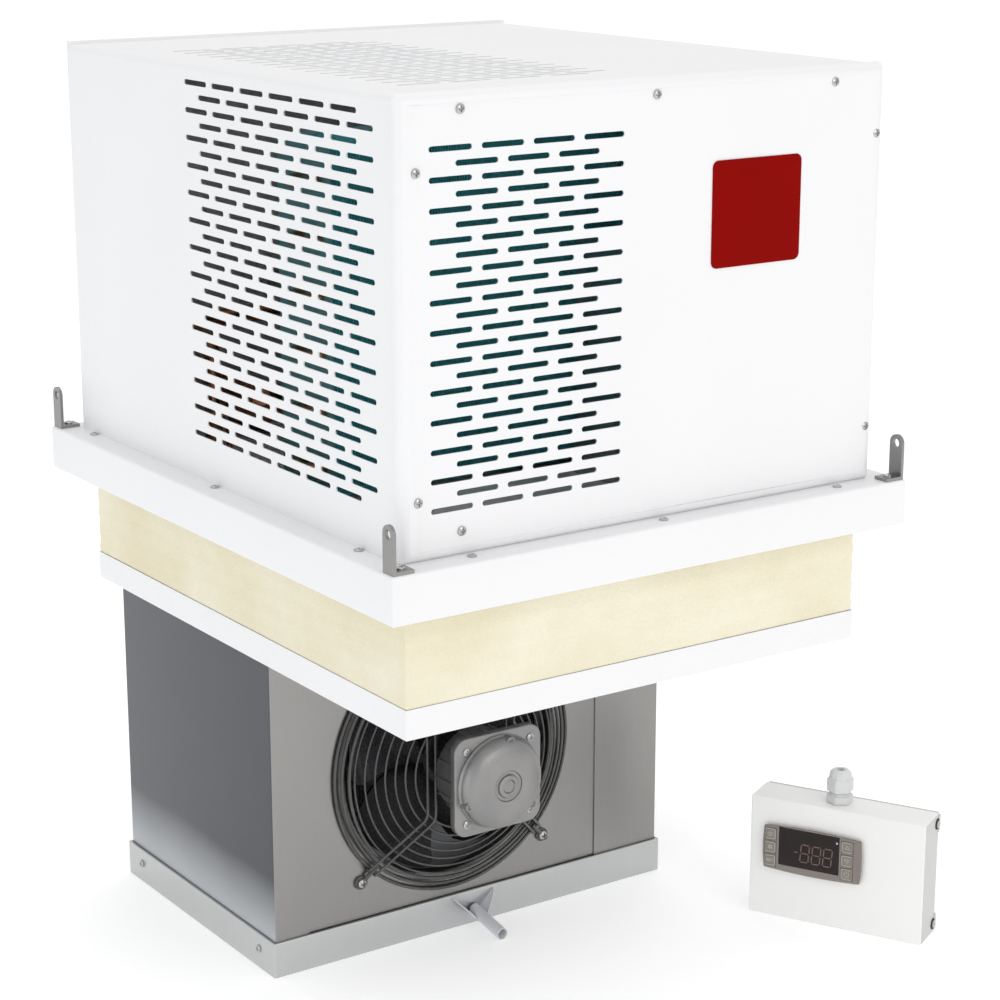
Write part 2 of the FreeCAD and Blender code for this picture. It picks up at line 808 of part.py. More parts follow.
def make_fan_motor():
    """The motor on the guard: a square cast flange, a round body behind it and a domed cover."""
    body = new_body("fan_motor", x="fan_x", y="panel_front - guard_wire * 1.8 - guard_rise",
                    z="fan_z", turn=FACE_FRONT)
    length = "motor_body_length"
    base = sketch(body)
    ring(base, "motor_body_diameter")
    pad(body, base, length)
    flange = sketch(body, rise=length)
    centred(flange, "motor_flange", "motor_flange")
    pad(body, flange, "motor_flange_thick")
    soften(body, lambda edge: along(edge, 2), "motor_flange * 0.14")
    dome = sketch(body, "XZ_Plane")
    low = f"({length} + motor_flange_thick)"
    radius = "motor_dome_diameter / 2"
    high = f"({low} + motor_dome_height)"
    boss = "motor_boss_diameter / 2"
    outline(dome, [("0", low), (radius, low),
                   (f"{radius} - motor_dome_slope", f"{low} + motor_dome_height * 0.7"),
                   (f"{radius} - motor_dome_step", high), (boss, high),
                   (f"{boss} * 0.8", f"{high} + motor_boss_height"),
                   ("0", f"{high} + motor_boss_height")])
    spin(body, dome)
    feet = sketch(body)
    centred(feet, "motor_flange - guard_wire", "motor_flange * 0.3")
    pad(body, feet, "motor_foot")
    bore = sketch(body)
    ring(bore, "motor_bore")
    pocket(body, bore, f"{length} * 0.8", back=True)
    keep("fan_motor", body)

    step = sizes.motor_flange * 0.37
    face = sizes.motor_body_length + sizes.motor_flange_thick
    y = places.panel_front - sizes.guard_wire * 1.8 - sizes.guard_rise - face
    corners = [(side * step, up * step) for side in (-1, 1) for up in (-1, 1)]
    screws = [put(screw_shape(), sizes.fan_x + x, y, sizes.fan_z + z, FACE_FRONT)
              for x, z in corners]
    group("motor_screws", screws)


def make_fins(label, length, depth, height, **where):
    """A finned block: upright fins on a thin core, which stands for the tube rows inside."""
    body = new_body(label, **where)
    core = sketch(body)
    centred(core, length, "coil_core", "0", f"({depth}) / 2")
    pad(body, core, height)
    fin = sketch(body)
    rectangle(fin, f"-({length}) / 2", "0", f"-({length}) / 2 + fin_thick", depth)
    first = pad(body, fin, height)
    count = f"floor(({length}) / fin_pitch)"
    row(body, first, fin, f"(({length}) - fin_thick) / ({count} - 1)", count)
    keep(label, body)


def make_end_plates(label, length, depth, height, x, y, z, foot):
    """The two folded end plates of a coil; the foot is the fold that fastens it."""
    plates = []
    sheet = sizes.end_plate_sheet
    for hand in (-1, 1):
        inner = length / 2
        low_x = inner if hand > 0 else -inner - sheet
        wall = Part.makeBox(sheet, depth, height, Vector(low_x, 0, 0))
        fold_x = inner if hand > 0 else -inner - sizes.end_plate_margin
        fold = Part.makeBox(sizes.end_plate_margin, depth, sheet, Vector(fold_x, 0, foot))
        plates.append(put(wall.fuse(fold).removeSplitter(), x, y, z))
    group(label, plates)


def half_ring(radius, tube):
    """A return bend in the XY plane, from -radius to +radius on X, bulging towards +Y."""
    turns = [math.radians(angle) for angle in (0, 45, 90, 135, 180)]
    points = [Vector(-radius * math.cos(turn), radius * math.sin(turn)) for turn in turns]
    return rod(points, tube, Vector(0, 1, 0))


def free_column(depth, levels):
    """Where the tube that leaves a coil's top level lies in the coil's depth."""
    return depth * (0.75 if levels % 2 else 0.25)


def make_bends(label, hand, length, depth, height, low, y):
    """Return bends of a coil: across its depth at one end, and up and down at the other."""
    step = sizes.coil_row_pitch
    levels = int(height / step)
    face = hand * (length / 2 + sizes.end_plate_sheet)
    across = half_ring(depth / 4, sizes.coil_tube)
    upright = half_ring(step / 2, sizes.coil_tube)
    level_turn = Rotation(Vector(0, 0, 1), -90 * hand)
    upright_turn = Rotation(Vector(0, 0, 1), Vector(-hand, 0, 0), Vector(0, -hand, 0), "XYZ")
    bends = []
    for level in range(levels):
        bends.append(put(across, face, y + depth / 2, low + step * (level + 0.5), level_turn))
    for level in range(1, levels):
        column = y + free_column(depth, level)
        bends.append(put(upright, -face, column, low + step * level, upright_turn))
    group(label, bends)


def make_evaporator():
    """The coil that hangs from the plug plate at the rear of the box, with its heater."""
    make_fins("evaporator_fins", "evaporator_length", "evaporator_depth", "evaporator_height",
              y="evaporator_y", z="evaporator_low")
    height = places.plate_low - places.evaporator_low
    make_end_plates("evaporator_end_plates", sizes.evaporator_length, sizes.evaporator_depth,
                    height, 0, sizes.evaporator_y, places.evaporator_low,
                    height - sizes.end_plate_sheet)
    make_bends("evaporator_tubes", 1, sizes.evaporator_length, sizes.evaporator_depth,
               sizes.evaporator_height, places.evaporator_low, sizes.evaporator_y)
    half = sizes.evaporator_length / 2
    near, far = (sizes.evaporator_y + sizes.evaporator_depth * share for share in (0.25, 0.75))
    height = places.evaporator_low - sizes.heater_diameter / 2
    bend = sizes.heater_bend
    route = [(-half, near), (half - bend, near), (half, near + bend), (half, far - bend),
             (half - bend, far), (-half, far)]
    group("defrost_heater", [rod([Vector(x, y, height) for x, y in route], sizes.heater_diameter)])


def make_tray():
    """The drip tray, with a hem folded over its rim and a notch to the drain spout."""
    body = new_body("drip_tray")
    outer = sketch(body)
    centred(outer, "tray_width", "tray_depth")
    pad(body, outer, "tray_height")
    hollow = sketch(body, rise="tray_height")
    centred(hollow, "tray_width - 2 * tray_sheet", "tray_depth - 2 * tray_sheet")
    pocket(body, hollow, "tray_height - tray_sheet")
    hem = sketch(body, rise="tray_height - tray_hem")
    centred(hem, "tray_width - tray_sheet", "tray_depth - tray_sheet")
    centred(hem, "box_width", "box_depth")
    pad(body, hem, "tray_hem")
    outlet = sketch(body, "XZ_Plane", "tray_depth / 2 - 2 * tray_sheet")
    ring(outlet, "drain_bore", "drain_x", "drain_height")
    pocket(body, outlet, "3 * tray_sheet", back=True)
    keep("drip_tray", body)

    spout = new_body("drain_spout", x="drain_x", y="-tray_depth / 2")
    root = sketch(spout, "XZ_Plane")
    low, half = "spout_low", "(drain_diameter / 2 + spout_wall)"
    outline(root, [("-drain_diameter / 2", low), ("drain_diameter / 2", low),
                   ("spout_width / 2", "spout_height"), ("-spout_width / 2", "spout_height")])
    nose = sketch(spout, "XZ_Plane", "spout_reach")
    outline(nose, [(f"-{half}", low), (half, low), (half, f"drain_height + {half}"),
                   (f"-{half}", f"drain_height + {half}")])
    funnel = spout.newObject("PartDesign::AdditiveLoft", "drain_funnel")
    funnel.Profile = root
    funnel.Sections = [nose]
    funnel.Ruled = True
    pipe = sketch(spout, "XZ_Plane")
    ring(pipe, "drain_diameter", "0", "drain_height")
    pad(spout, pipe, "drain_length")
    bore = sketch(spout, "XZ_Plane")
    ring(bore, "drain_bore", "0", "drain_height")
    pocket(spout, bore, "drain_length + 1", back=True)
    keep("drain_spout", spout)


def make_tray_screws():
    """Screws through the tray's side walls into the side sheets."""
    x = places.tray_width / 2
    inset = sizes.tray_screw_in
    screws = []
    for y in (places.box_front + inset, places.box_rear - inset):
        screws.append(put(screw_shape(), -x, y, sizes.tray_screw_height, FACE_LEFT))
        screws.append(put(screw_shape(), x, y, sizes.tray_screw_height, FACE_RIGHT))
    group("tray_screws", screws)


def make_condenser():
    """The coil across the housing behind the front slots, with its shroud and fan."""
    length, depth = sizes.condenser_length, sizes.condenser_depth
    make_fins("condenser_fins", "condenser_length", "condenser_depth", "condenser_height",
              y="condenser_y", z="deck + end_plate_margin")
    make_end_plates("condenser_end_plates", length, depth, places.shroud_height, 0,
                    sizes.condenser_y, places.deck, 0)
    make_bends("condenser_tubes", -1, length, depth, sizes.condenser_height,
               places.deck + sizes.end_plate_margin, sizes.condenser_y)

    shroud = new_body("condenser_shroud", y="condenser_y + condenser_depth", z="deck")
    high = "shroud_height"
    outer = sketch(shroud, "XZ_Plane")
    rectangle(outer, "-condenser_length / 2", "0", "condenser_length / 2", high)
    pad(shroud, outer, "shroud_depth", back=True)
    inner = sketch(shroud, "XZ_Plane")
    rectangle(inner, "-condenser_length / 2 + shroud_sheet", "shroud_sheet",
              "condenser_length / 2 - shroud_sheet", f"{high} - shroud_sheet")
    pocket(shroud, inner, "shroud_depth - shroud_sheet")
    mouth = sketch(shroud, "XZ_Plane")
    ring(mouth, "condenser_fan_diameter + 2 * fan_tip_gap", "0", "shroud_height / 2")
    pocket(shroud, mouth, "shroud_depth + 1")
    rim = sketch(shroud, "XZ_Plane", "-shroud_depth")
    ring(rim, "condenser_fan_diameter + 2 * fan_tip_gap + 2 * shroud_sheet", "0", "shroud_height / 2")
    ring(rim, "condenser_fan_diameter + 2 * fan_tip_gap", "0", "shroud_height / 2")
    pad(shroud, rim, "inlet_depth", back=True)
    keep("condenser_shroud", shroud)


def make_condenser_fan():
    """The condenser's fan wheel, its motor and the bar that carries the motor."""
    y = "condenser_fan_y + inlet_depth / 2"
    wheel = make_rotor("condenser_fan", "condenser_fan_diameter", "condenser_hub_diameter",
                       "fan_hub_length", "fan_blade_width", "fan_blades", y=y,
                       z="condenser_fan_height")
    add_shaft(wheel, "fan_hub_length / 2",
              "(inlet_depth + fan_blade_width + condenser_motor_length) / 2")
    keep("condenser_fan", wheel)

    back = "condenser_fan_y + inlet_depth + fan_blade_width / 2"
    motor = new_body("condenser_motor", y=back, z="condenser_fan_height", turn=FACE_FRONT)
    drum = sketch(motor, "XZ_Plane")
    radius, long = "condenser_motor_diameter / 2", "condenser_motor_length"
    bevel = "condenser_motor_bevel"
    outline(drum, [("motor_bore / 2", "0"), (f"{radius} - {bevel}", "0"), (radius, f"-{bevel}"),
                   (radius, f"{bevel} - {long}"), (f"{radius} - {bevel}", f"-{long}"),
                   ("0", f"-{long}"),
                   ("0", f"-{long} * 0.9"), ("motor_bore / 2", f"-{long} * 0.9")])
    spin(motor, drum)
    keep("condenser_motor", motor)

    bar = new_body("motor_bracket", y=f"{back} + condenser_motor_length",
                   z="condenser_fan_height")
    strap = sketch(bar)
    reach = "condenser_fan_diameter / 2 + bracket_clear"
    thick = "bracket_thick"
    run = "(condenser_motor_length + inlet_depth + fan_blade_width / 2)"
    outline(strap, [(f"-({reach})", f"-{run}"), (f"-({reach}) + {thick}", f"-{run}"),
                    (f"-({reach}) + {thick}", "0"), (f"{reach} - {thick}", "0"),
                    (f"{reach} - {thick}", f"-{run}"), (reach, f"-{run}"),
                    (reach, thick), (f"-({reach})", thick)])
    pad(bar, strap, "bracket_width")
    keep("motor_bracket", bar)


def make_compressor():
    """The sealed compressor: a rounded shell on a sprung base plate with rubber grommets."""
    where = {"x": "compressor_x", "y": "compressor_y"}
    shell = new_body("compressor_shell", z="compressor_low + compressor_base_sheet", **where)
    side = sketch(shell, "XZ_Plane")
    radius, high = "compressor_diameter / 2", "compressor_height"
    bend = "compressor_wall_radius"
    outline(side, [("0", "0"), (f"{radius} - {bend} * 0.6", "0"),
                   (f"{radius} - {bend} * 0.18", f"{bend} * 0.3"),
                   (radius, f"{bend} * 0.8"), (radius, f"{high} - {bend} * 0.9"),
                   (f"{radius} - {bend} * 0.3", f"{high} - {bend} * 0.3"),
                   (f"{radius} - {bend}", high), ("0", high)])
    spin(shell, side)
    seam = sketch(shell, rise="compressor_height * 0.62")
    ring(seam, "compressor_diameter + 2 * compressor_seam")
    pad(shell, seam, "compressor_seam_height")
    keep("compressor_shell", shell)

    base = new_body("compressor_base", z="compressor_low", **where)
    plate = sketch(base)
    centred(plate, "compressor_base_width", "compressor_base_depth")
    pad(base, plate, "compressor_base_sheet")
    soften(base, lambda edge: along(edge, 2), "grommet_diameter / 2")
    keep("compressor_base", base)

    step_x = (sizes.compressor_base_width - sizes.grommet_diameter) / 2
    step_y = (sizes.compressor_base_depth - sizes.grommet_diameter) / 2
    foot = prism(int(sizes.screw_sides), sizes.grommet_diameter, sizes.grommet_height)
    group("compressor_grommets", [
        put(foot, sizes.compressor_x + i * step_x, sizes.compressor_y + j * step_y, places.deck)
        for i in (-1, 1) for j in (-1, 1)
    ])

    cover = new_body("terminal_cover", z="compressor_low + compressor_height * 0.3", **where)
    block = sketch(cover, "YZ_Plane")
    rectangle(block, "-terminal_width / 2", "0", "terminal_width / 2", "terminal_height")
    pad(cover, block, "compressor_diameter / 2 + terminal_depth")
    round_wall = sketch(cover, rise="terminal_height")
    ring(round_wall, "compressor_diameter")
    pocket(cover, round_wall, "terminal_height + 1")
    keep("terminal_cover", cover)


def rod(points, diameter, end=None):
    """A many-sided bar through points, mitred at each corner; end is the plane of both ends."""
    runs = [(after - before).normalize() for before, after in zip(points, points[1:])]
    cuts = [end or runs[0]]
    cuts += [(before + after).normalize() for before, after in zip(runs, runs[1:])]
    cuts.append(end or runs[-1])
    turn = Rotation(Vector(0, 0, 1), runs[0])
    count = int(sizes.pipe_sides)
    angles = [2 * math.pi * i / count for i in range(count)]
    corners = [points[0] + turn.multVec(Vector(math.cos(a), math.sin(a)) * (diameter / 2))
               for a in angles]
    rings = []
    for point, cut, run in zip(points, cuts, [runs[0]] + runs):
        corners = [c + run * ((point - c).dot(cut) / run.dot(cut)) for c in corners]
        rings.append(corners)
    loops = [rings[0], rings[-1]]
    for low, high in zip(rings, rings[1:]):
        loops += [[low[i - 1], low[i], high[i], high[i - 1]] for i in range(count)]
    shell = Part.makeShell([Part.Face(Part.makePolygon(loop + loop[:1])) for loop in loops])
    shell.sewShape()
    solid = Part.makeSolid(shell)
    if solid.Volume < 0:
        solid.reverse()
    return solid


def bevelled(points, cut):
    """Replaces each corner of a route by two points, to make a short bend."""
    route = [points[0]]
    for before, corner, after in zip(points, points[1:], points[2:]):
        reach = min(cut, (before - corner).Length / 2.1, (after - corner).Length / 2.1)
        route.append(corner + (before - corner).normalize() * reach)
        route.append(corner + (after - corner).normalize() * reach)
    return route + [points[-1]]


def pipe(label, points, diameter, bend):
    """Keeps a bar through a route's points as one pipe."""
    route = bevelled([Vector(*point) for point in points], bend)
    group(label, [rod(route, diameter)])


def make_pipes():
    """The refrigerant lines between compressor, condenser, drier and evaporator."""
    step = sizes.coil_row_pitch
    duct_y = sizes.pipe_duct_y
    end = -sizes.evaporator_length / 2 - sizes.end_plate_sheet
    levels = int(sizes.evaporator_height / step)
    rear = sizes.evaporator_y + free_column(sizes.evaporator_depth, levels)
    front = sizes.evaporator_y + free_column(sizes.evaporator_depth, 0)
    outlet = places.evaporator_low + step * (levels - 0.5)
    inlet = places.evaporator_low + step / 2

    x = sizes.pipe_duct_x - sizes.suction_offset
    under = places.plate_low - sizes.suction_under
    high = places.compressor_low + sizes.compressor_height / 2
    shell = sizes.compressor_x - sizes.compressor_diameter / 2
    pipe("suction_pipe",
         [(end, rear, outlet), (x, rear, outlet), (x, rear, under), (x, duct_y, under),
          (x, duct_y, high), (x, sizes.compressor_y, high), (shell, sizes.compressor_y, high)],
         sizes.suction_diameter, sizes.pipe_bend)

    level = places.deck + sizes.end_plate_margin + step / 2
    far = sizes.drier_y + sizes.drier_length
    x = sizes.pipe_duct_x + sizes.capillary_offset
    side = sizes.pipe_duct_x - sizes.capillary_side
    pipe("capillary_tube",
         [(sizes.drier_x, far, level), (sizes.drier_x, far + sizes.pipe_out, level),
          (x, far + sizes.pipe_out, level), (x, duct_y, level), (x, duct_y, inlet),
          (side, duct_y, inlet), (side, front, inlet), (end, front, inlet)],
         sizes.capillary_diameter, sizes.capillary_bend)

    end = sizes.condenser_length / 2 + sizes.end_plate_sheet
    lane = end + sizes.pipe_lane
    levels = int(sizes.condenser_height / step)
    front = sizes.condenser_y + free_column(sizes.condenser_depth, 0)
    last = sizes.condenser_y + free_column(sizes.condenser_depth, levels)
    pipe("liquid_pipe",
         [(end, front, level), (lane, front, level), (lane, sizes.liquid_y, level),
          (sizes.drier_x, sizes.liquid_y, level), (sizes.drier_x, sizes.drier_y, level)],
         sizes.liquid_diameter, sizes.pipe_bend)
    top = places.compressor_low + sizes.compressor_base_sheet + sizes.compressor_height
    high = level + step * (levels - 1)
    x = sizes.compressor_x - sizes.outlet_offset
    y = sizes.compressor_y - sizes.outlet_offset
    pipe("discharge_pipe",
         [(x, y, top), (x, y, high), (lane, y, high), (lane, last, high), (end, last, high)],
         sizes.liquid_diameter, sizes.pipe_bend)


def make_drier():
    """The filter drier, lying on a saddle that stands on the deck."""
    body = new_body("filter_drier", x="drier_x", y="drier_y",
                    z="deck + end_plate_margin + coil_row_pitch / 2")
    can = sketch(body, "XZ_Plane")
    ring(can, "drier_diameter")
    pad(body, can, "drier_length", back=True)
    saddle = sketch(body, "XZ_Plane", "-(drier_length + drier_saddle) / 2")
    rectangle(saddle, "-drier_saddle / 2", "-end_plate_margin - coil_row_pitch / 2",
              "drier_saddle / 2", "0")
    pad(body, saddle, "drier_saddle")
    keep("filter_drier", body)


def make_electrical_box():
    """The sheet box behind the bare half of the front panel, and its lid."""
    right = "casing_side - casing_sheet - electric_right"
    front = "casing_front + electric_front"
    case = new_body("electrical_box", x=f"{right} - electric_width", y=front, z="deck")
    outer = sketch(case, "XZ_Plane")
    rectangle(outer, "0", "0", "electric_width", "electric_height")
    pad(case, outer, "electric_depth", back=True)
    inner = sketch(case, "XZ_Plane")
    rectangle(inner, "casing_sheet", "casing_sheet", "electric_width - casing_sheet",
              "electric_height - casing_sheet")
    pocket(case, inner, "electric_depth - casing_sheet")
    keep("electrical_box", case)

    lid = new_body("electrical_cover", x=f"{right} - electric_width", y=front, z="deck")
    plate = sketch(lid, "XZ_Plane")
    rectangle(plate, "0", "0", "electric_width", "electric_height")
    pad(lid, plate, "electric_lid")
    keep("electrical_cover", lid)


def make_power_gland():
    """The gland in the rear panel that the supply lead would leave by."""
    body = new_body("power_gland", x="-casing_side + gland_side", y="casing_rear",
                    z="deck + gland_rise", turn=FACE_REAR)
    stem = sketch(body, rise="-2 * casing_sheet")
    ring(stem, "gland_diameter * 0.7 - 2 * plug_gap")
    pad(body, stem, "2 * casing_sheet")
    nut = sketch(body)
    hexagon(nut, "gland_diameter")
    pad(body, nut, "gland_length")
    bore = sketch(body, rise="gland_length")
    ring(bore, "gland_bore")
    pocket(body, bore, "gland_length + 2 * casing_sheet")
    keep("power_gland", body)


def hexagon(drawn, diameter, x="0", y="0"):
    """Draws a regular hexagon, its corners on the diameter."""
    corners = []
    for index in range(6):
        angle = 60 * index
        corners.append((f"{x} + ({diameter}) / 2 * cos({angle})",
                        f"{y} + ({diameter}) / 2 * sin({angle})"))
    return outline(drawn, corners)


def make_screws():
    """Screws round the front and rear panels, and on the frame's deck and the lugs' feet."""
    head = screw_shape()
    half = places.casing_side
    up = places.casing_top
    inner = half - sizes.panel_screw_in
    marks = [(x, up - sizes.panel_screw_top) for x in (-inner, 0, inner)]
    for drop in (sizes.panel_screw_upper, sizes.panel_screw_lower):
        marks.append((sizes.panel_screw_left - half, up - drop))
        marks.append((half - sizes.panel_screw_right, up - drop))
    marks.append((-inner, places.deck + sizes.panel_screw_foot))
    screws = [put(head, x, places.casing_front, z, FACE_FRONT) for x, z in marks]
    screws += [put(head, -x, places.casing_rear, z, FACE_REAR) for x, z in marks]
    group("panel_screws", screws)

    middle = -sizes.casing_setback
    side = half + sizes.frame_screw_side
    end = sizes.casing_depth / 2 + sizes.frame_screw_end
    spots = [(sizes.frame_screw_x + i * sizes.frame_screw_pitch_x, middle + j * end, 0)
             for i in (-1, 0, 1) for j in (-1, 1)]
    spots += [(i * side, middle + sizes.frame_screw_y + j * sizes.frame_screw_pitch_y, 0)
              for i in (-1, 1) for j in (-1, 0, 1)]
    x = places.frame_width / 2 - sizes.lug_in - sizes.lug_foot / 2 - sizes.lug_thick / 2
    y = places.frame_depth / 2 - sizes.lug_end
    spots += [(i * x, middle + j * y, sizes.lug_thick) for i in (-1, 1) for j in (-1, 1)]
    group("flange_screws", [put(head, x, y, places.deck + z) for x, y, z in spots])


def make_badge():
    """The plain plate on the front panel."""
    body = new_body("badge_plate", x="-casing_side + badge_left", y="casing_front",
                    z="casing_top - badge_top - badge_height")
    plate = sketch(body, "XZ_Plane")
    rectangle(plate, "0", "0", "badge_width", "badge_height")
    pad(body, plate, "badge_thick")
    soften(body, lambda edge: along(edge, 1), "badge_width * 0.07")
    keep("badge_plate", body)


def control_body(name):
    """A body of the control box, whose X runs along its front and Y into its depth."""
    turn = Rotation(Vector(0, 0, 1), sizes.control_turn)
    return new_body(name, x="control_x", y="control_y", turn=turn)


def make_control_box():
    """The wall box: a folded cover with tabs, over a back tray with its fixing holes."""
    cover = control_body("control_cover")
    depth = "(control_depth - control_sheet)"
    outer = sketch(cover, "XZ_Plane")
    rectangle(outer, "0", "0", "control_width", "control_height")
    pad(cover, outer, depth, back=True)
    inner = sketch(cover, "XZ_Plane", "-control_sheet")
    rectangle(inner, "control_sheet", "control_sheet", "control_width - control_sheet",
              "control_height - control_sheet")
    pocket(cover, inner, depth)
    opening = sketch(cover, "XZ_Plane")
    left, low, right, high = facia_body_sides("control_gap")
    rectangle(opening, left, low, right, high)
    pocket(cover, opening, "2 * control_sheet")
    notch = sketch(cover, "YZ_Plane", "-1")
    rectangle(notch, "control_depth - control_notch", "control_tab", "control_depth + 1",
              "control_height - control_tab")
    pocket(cover, notch, "control_width + 2", back=True)
    hole = sketch(cover, rise="control_height + 1")
    ring(hole, "control_gland_bore + 2 * control_gap", "control_gland_x", "control_depth / 2")
    pocket(cover, hole, "2 * control_sheet")
    keep("control_cover", cover)

    back = control_body("control_back")
    plate = sketch(back, "XZ_Plane", "-control_depth + control_sheet")
    rectangle(plate, "0", "0", "control_width", "control_height")
    for side in ("control_mount_inset", "control_width - control_mount_inset"):
        ring(plate, "control_mount_hole", side, "control_height / 2")
    pad(back, plate, "control_sheet", back=True)
    wall = sketch(back, "XZ_Plane", "-control_depth + control_sheet")
    inset = "(control_sheet + control_gap)"
    rectangle(wall, inset, inset, f"control_width - {inset}", f"control_height - {inset}")
    inside = f"({inset} + control_sheet)"
    rectangle(wall, inside, inside, f"control_width - {inside}", f"control_height - {inside}")
    pad(back, wall, "control_notch * 2")
    keep("control_back", back)

    turn = Placement(Vector(sizes.control_x, sizes.control_y, 0),
                     Rotation(Vector(0, 0, 1), sizes.control_turn))
    screws = []
    for x, face in ((0, FACE_LEFT), (sizes.control_width, FACE_RIGHT)):
        for z in (sizes.control_tab / 2, sizes.control_height - sizes.control_tab / 2):
            head = put(screw_shape(), x, sizes.control_depth - sizes.control_tab / 2, z, face)
            head.Placement = turn.multiply(head.Placement)
            screws.append(head)
    group("control_screws", screws)


def facia_body_sides(gap):
    """The outline of the controller's rear body, which passes through the cover."""
    left = f"facia_left + facia_shoulder / 2 - {gap}"
    right = f"facia_left + facia_width - facia_shoulder / 2 + {gap}"
    high = f"control_height - facia_drop - facia_bulge * 2 + {gap}"
    low = f"control_height - facia_drop - facia_height + facia_bulge * 2 - {gap}"
    return left, low, right, high


def key_centres():
    """Each key's name with the formulas of its centre on the facia."""
    middle = "control_height - facia_drop - facia_height / 2"
    left = "facia_left + key_left_in"
    right = "facia_left + facia_width - key_right_in"
    centres = {}
    for names, x in ((("lamp", "defrost", "set"), left), (("up", "down", "power"), right)):
        for level, name in zip((1, 0, -1), names):
            centres[name] = (x, f"{middle} + {level} * key_pitch")
    return centres


def make_controller():
    """The controller set in the cover: its facia and body, the window and six keys."""
    facia = control_body("controller_facia")
    face = sketch(facia, "XZ_Plane")
    left, right = "facia_left", "facia_left + facia_width"
    high = "control_height - facia_drop"
    low = f"{high} - facia_height"
    outline(face, [(left, f"{low} + facia_bulge"), (f"{left} + facia_shoulder", low),
                   (f"{right} - facia_shoulder", low), (right, f"{low} + facia_bulge"),
                   (right, f"{high} - facia_bulge"), (f"{right} - facia_shoulder", high),
                   (f"{left} + facia_shoulder", high), (left, f"{high} - facia_bulge")])
    pad(facia, face, "facia_thick")
    body = sketch(facia, "XZ_Plane")
    rectangle(body, *facia_body_sides("0"))
    pad(facia, body, "facia_body_depth", back=True)
    seat = sketch(facia, "XZ_Plane", "facia_thick")
    middle = "(control_height - facia_drop - window_drop - window_height / 2)"
    across = "(facia_left + window_left + window_width / 2)"
    centred(seat, "window_width", "window_height", across, middle)
    pocket(facia, seat, "window_thick")
    wells = sketch(facia, "XZ_Plane", "facia_thick")
    for x, z in key_centres().values():
        centred(wells, "key_width + 2 * key_gap", "key_height + 2 * key_gap", f"({x})", f"({z})")
    pocket(facia, wells, "key_depth - key_rise + key_travel + key_gap")
    keep("controller_facia", facia)

    window = control_body("display_window")
    glass = sketch(window, "XZ_Plane", "facia_thick - window_thick")
    centred(glass, "window_width", "window_height", across, middle)
    pad(window, glass, "window_thick")
    keep("display_window", window)

    for name, (x, z) in key_centres().items():
        key = control_body(f"key_{name}")
        cap = sketch(key, "XZ_Plane", "facia_thick + key_rise - key_depth")
        centred(cap, "key_width", "key_height", f"({x})", f"({z})")
        pad(key, cap, "key_depth")
        keep(f"key_{name}", key)


def make_control_gland():
    """The gland on the control box: a hexagon base, a neck, a hexagon nut and a domed end."""
    body = control_body("control_gland")
    x, y = "control_gland_x", "control_depth / 2"
    high = "control_gland_height"
    stages = (
        (hexagon, "control_gland_hex", "control_height", f"{high} * 0.24"),
        (ring, "control_gland_hex * 0.8", f"control_height + {high} * 0.24", f"{high} * 0.1"),
        (hexagon, "control_gland_hex", f"control_height + {high} * 0.34", f"{high} * 0.42"),
        (ring, "control_gland_hex * 0.78", f"control_height + {high} * 0.76", f"{high} * 0.24"),
        (ring, "control_gland_bore", "control_height - 2 * control_sheet", "3 * control_sheet"),
    )
    for draw, diameter, low, tall in stages:
        outer = sketch(body, rise=low)
        draw(outer, diameter, x, y)
        pad(body, outer, tall)
    bore = sketch(body, rise=f"control_height + {high} + 1")
    ring(bore, "control_gland_bore * 0.7", x, y)
    pocket(body, bore, f"{high} + 4 * control_sheet")
    keep("control_gland", body)


def make_lugs():
    """Four lifting lugs: a strip with a round eye, folded to a foot on the frame's deck."""
    for end, side in ((e, s) for e in ("front", "rear") for s in ("left", "right")):
        label = f"lifting_lug_{end}_{side}"
        left = side == "left"
        hand = "-" if left else ""
        way = "-" if end == "front" else "+"
        body = new_body(label, x=f"{hand}(frame_width / 2 - lug_in)",
                        y=f"-casing_setback {way} (frame_depth / 2 - lug_end)", z="deck")
        strip = sketch(body, "YZ_Plane")
        eye_height = "(lug_height - lug_width / 2)"
        rectangle(strip, "-lug_width / 2", "0", "lug_width / 2", eye_height)
        pad(body, strip, "lug_thick", back=not left)
        eye = sketch(body, "YZ_Plane")
        ring(eye, "lug_width", "0", eye_height)
        pad(body, eye, "lug_thick", back=not left)
        foot = sketch(body, "XZ_Plane", "-lug_width / 2")
        rectangle(foot, "0", "0", "lug_foot" if left else "-lug_foot", "lug_thick")
        pad(body, foot, "lug_width")
        hole = sketch(body, "YZ_Plane", "-2 * lug_thick")
        ring(hole, "lug_hole", "0", "lug_height - lug_hole_drop")
        pocket(body, hole, "4 * lug_thick", back=True)
        keep(label, body)


def write_parts():
    """Checks every object and writes each sub-part to its own file."""
    doc.recompute()
    for thing in doc.Objects:
        for flag in ("Invalid", "Error"):
            if flag in thing.State:
                raise RuntimeError(f"{thing.Label} is {flag}")
    os.makedirs("parts", exist_ok=True)
    for label, thing in subparts.items():
        shape = thing.Shape
        if shape.isNull() or not shape.isValid() or not shape.Solids:
            raise RuntimeError(f"{label} has no valid shape")
        shape.exportStep(os.path.join("parts", label + ".step"))


fill_sheets()
make_hood()
make_front_panel()
make_rear_panel()
make_base_frame()
make_plug()
make_evaporator_sides()
make_fan_panel()
make_fan_guard()
make_evaporator_fan()
make_fan_motor()
make_evaporator()
make_tray()
make_tray_screws()
make_condenser()
make_condenser_fan()
make_compressor()
make_pipes()
make_drier()
make_electrical_box()
make_power_gland()
make_screws()
make_badge()
make_control_box()
make_controller()
make_control_gland()
make_lugs()
write_parts()
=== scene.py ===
"""Looks for a ceiling refrigeration unit and its remote control box.

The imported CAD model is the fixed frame, in metres. Each operator makes one piece or one group of
like pieces over the node that it stands for, and main calls them in order.
"""

import json
import math

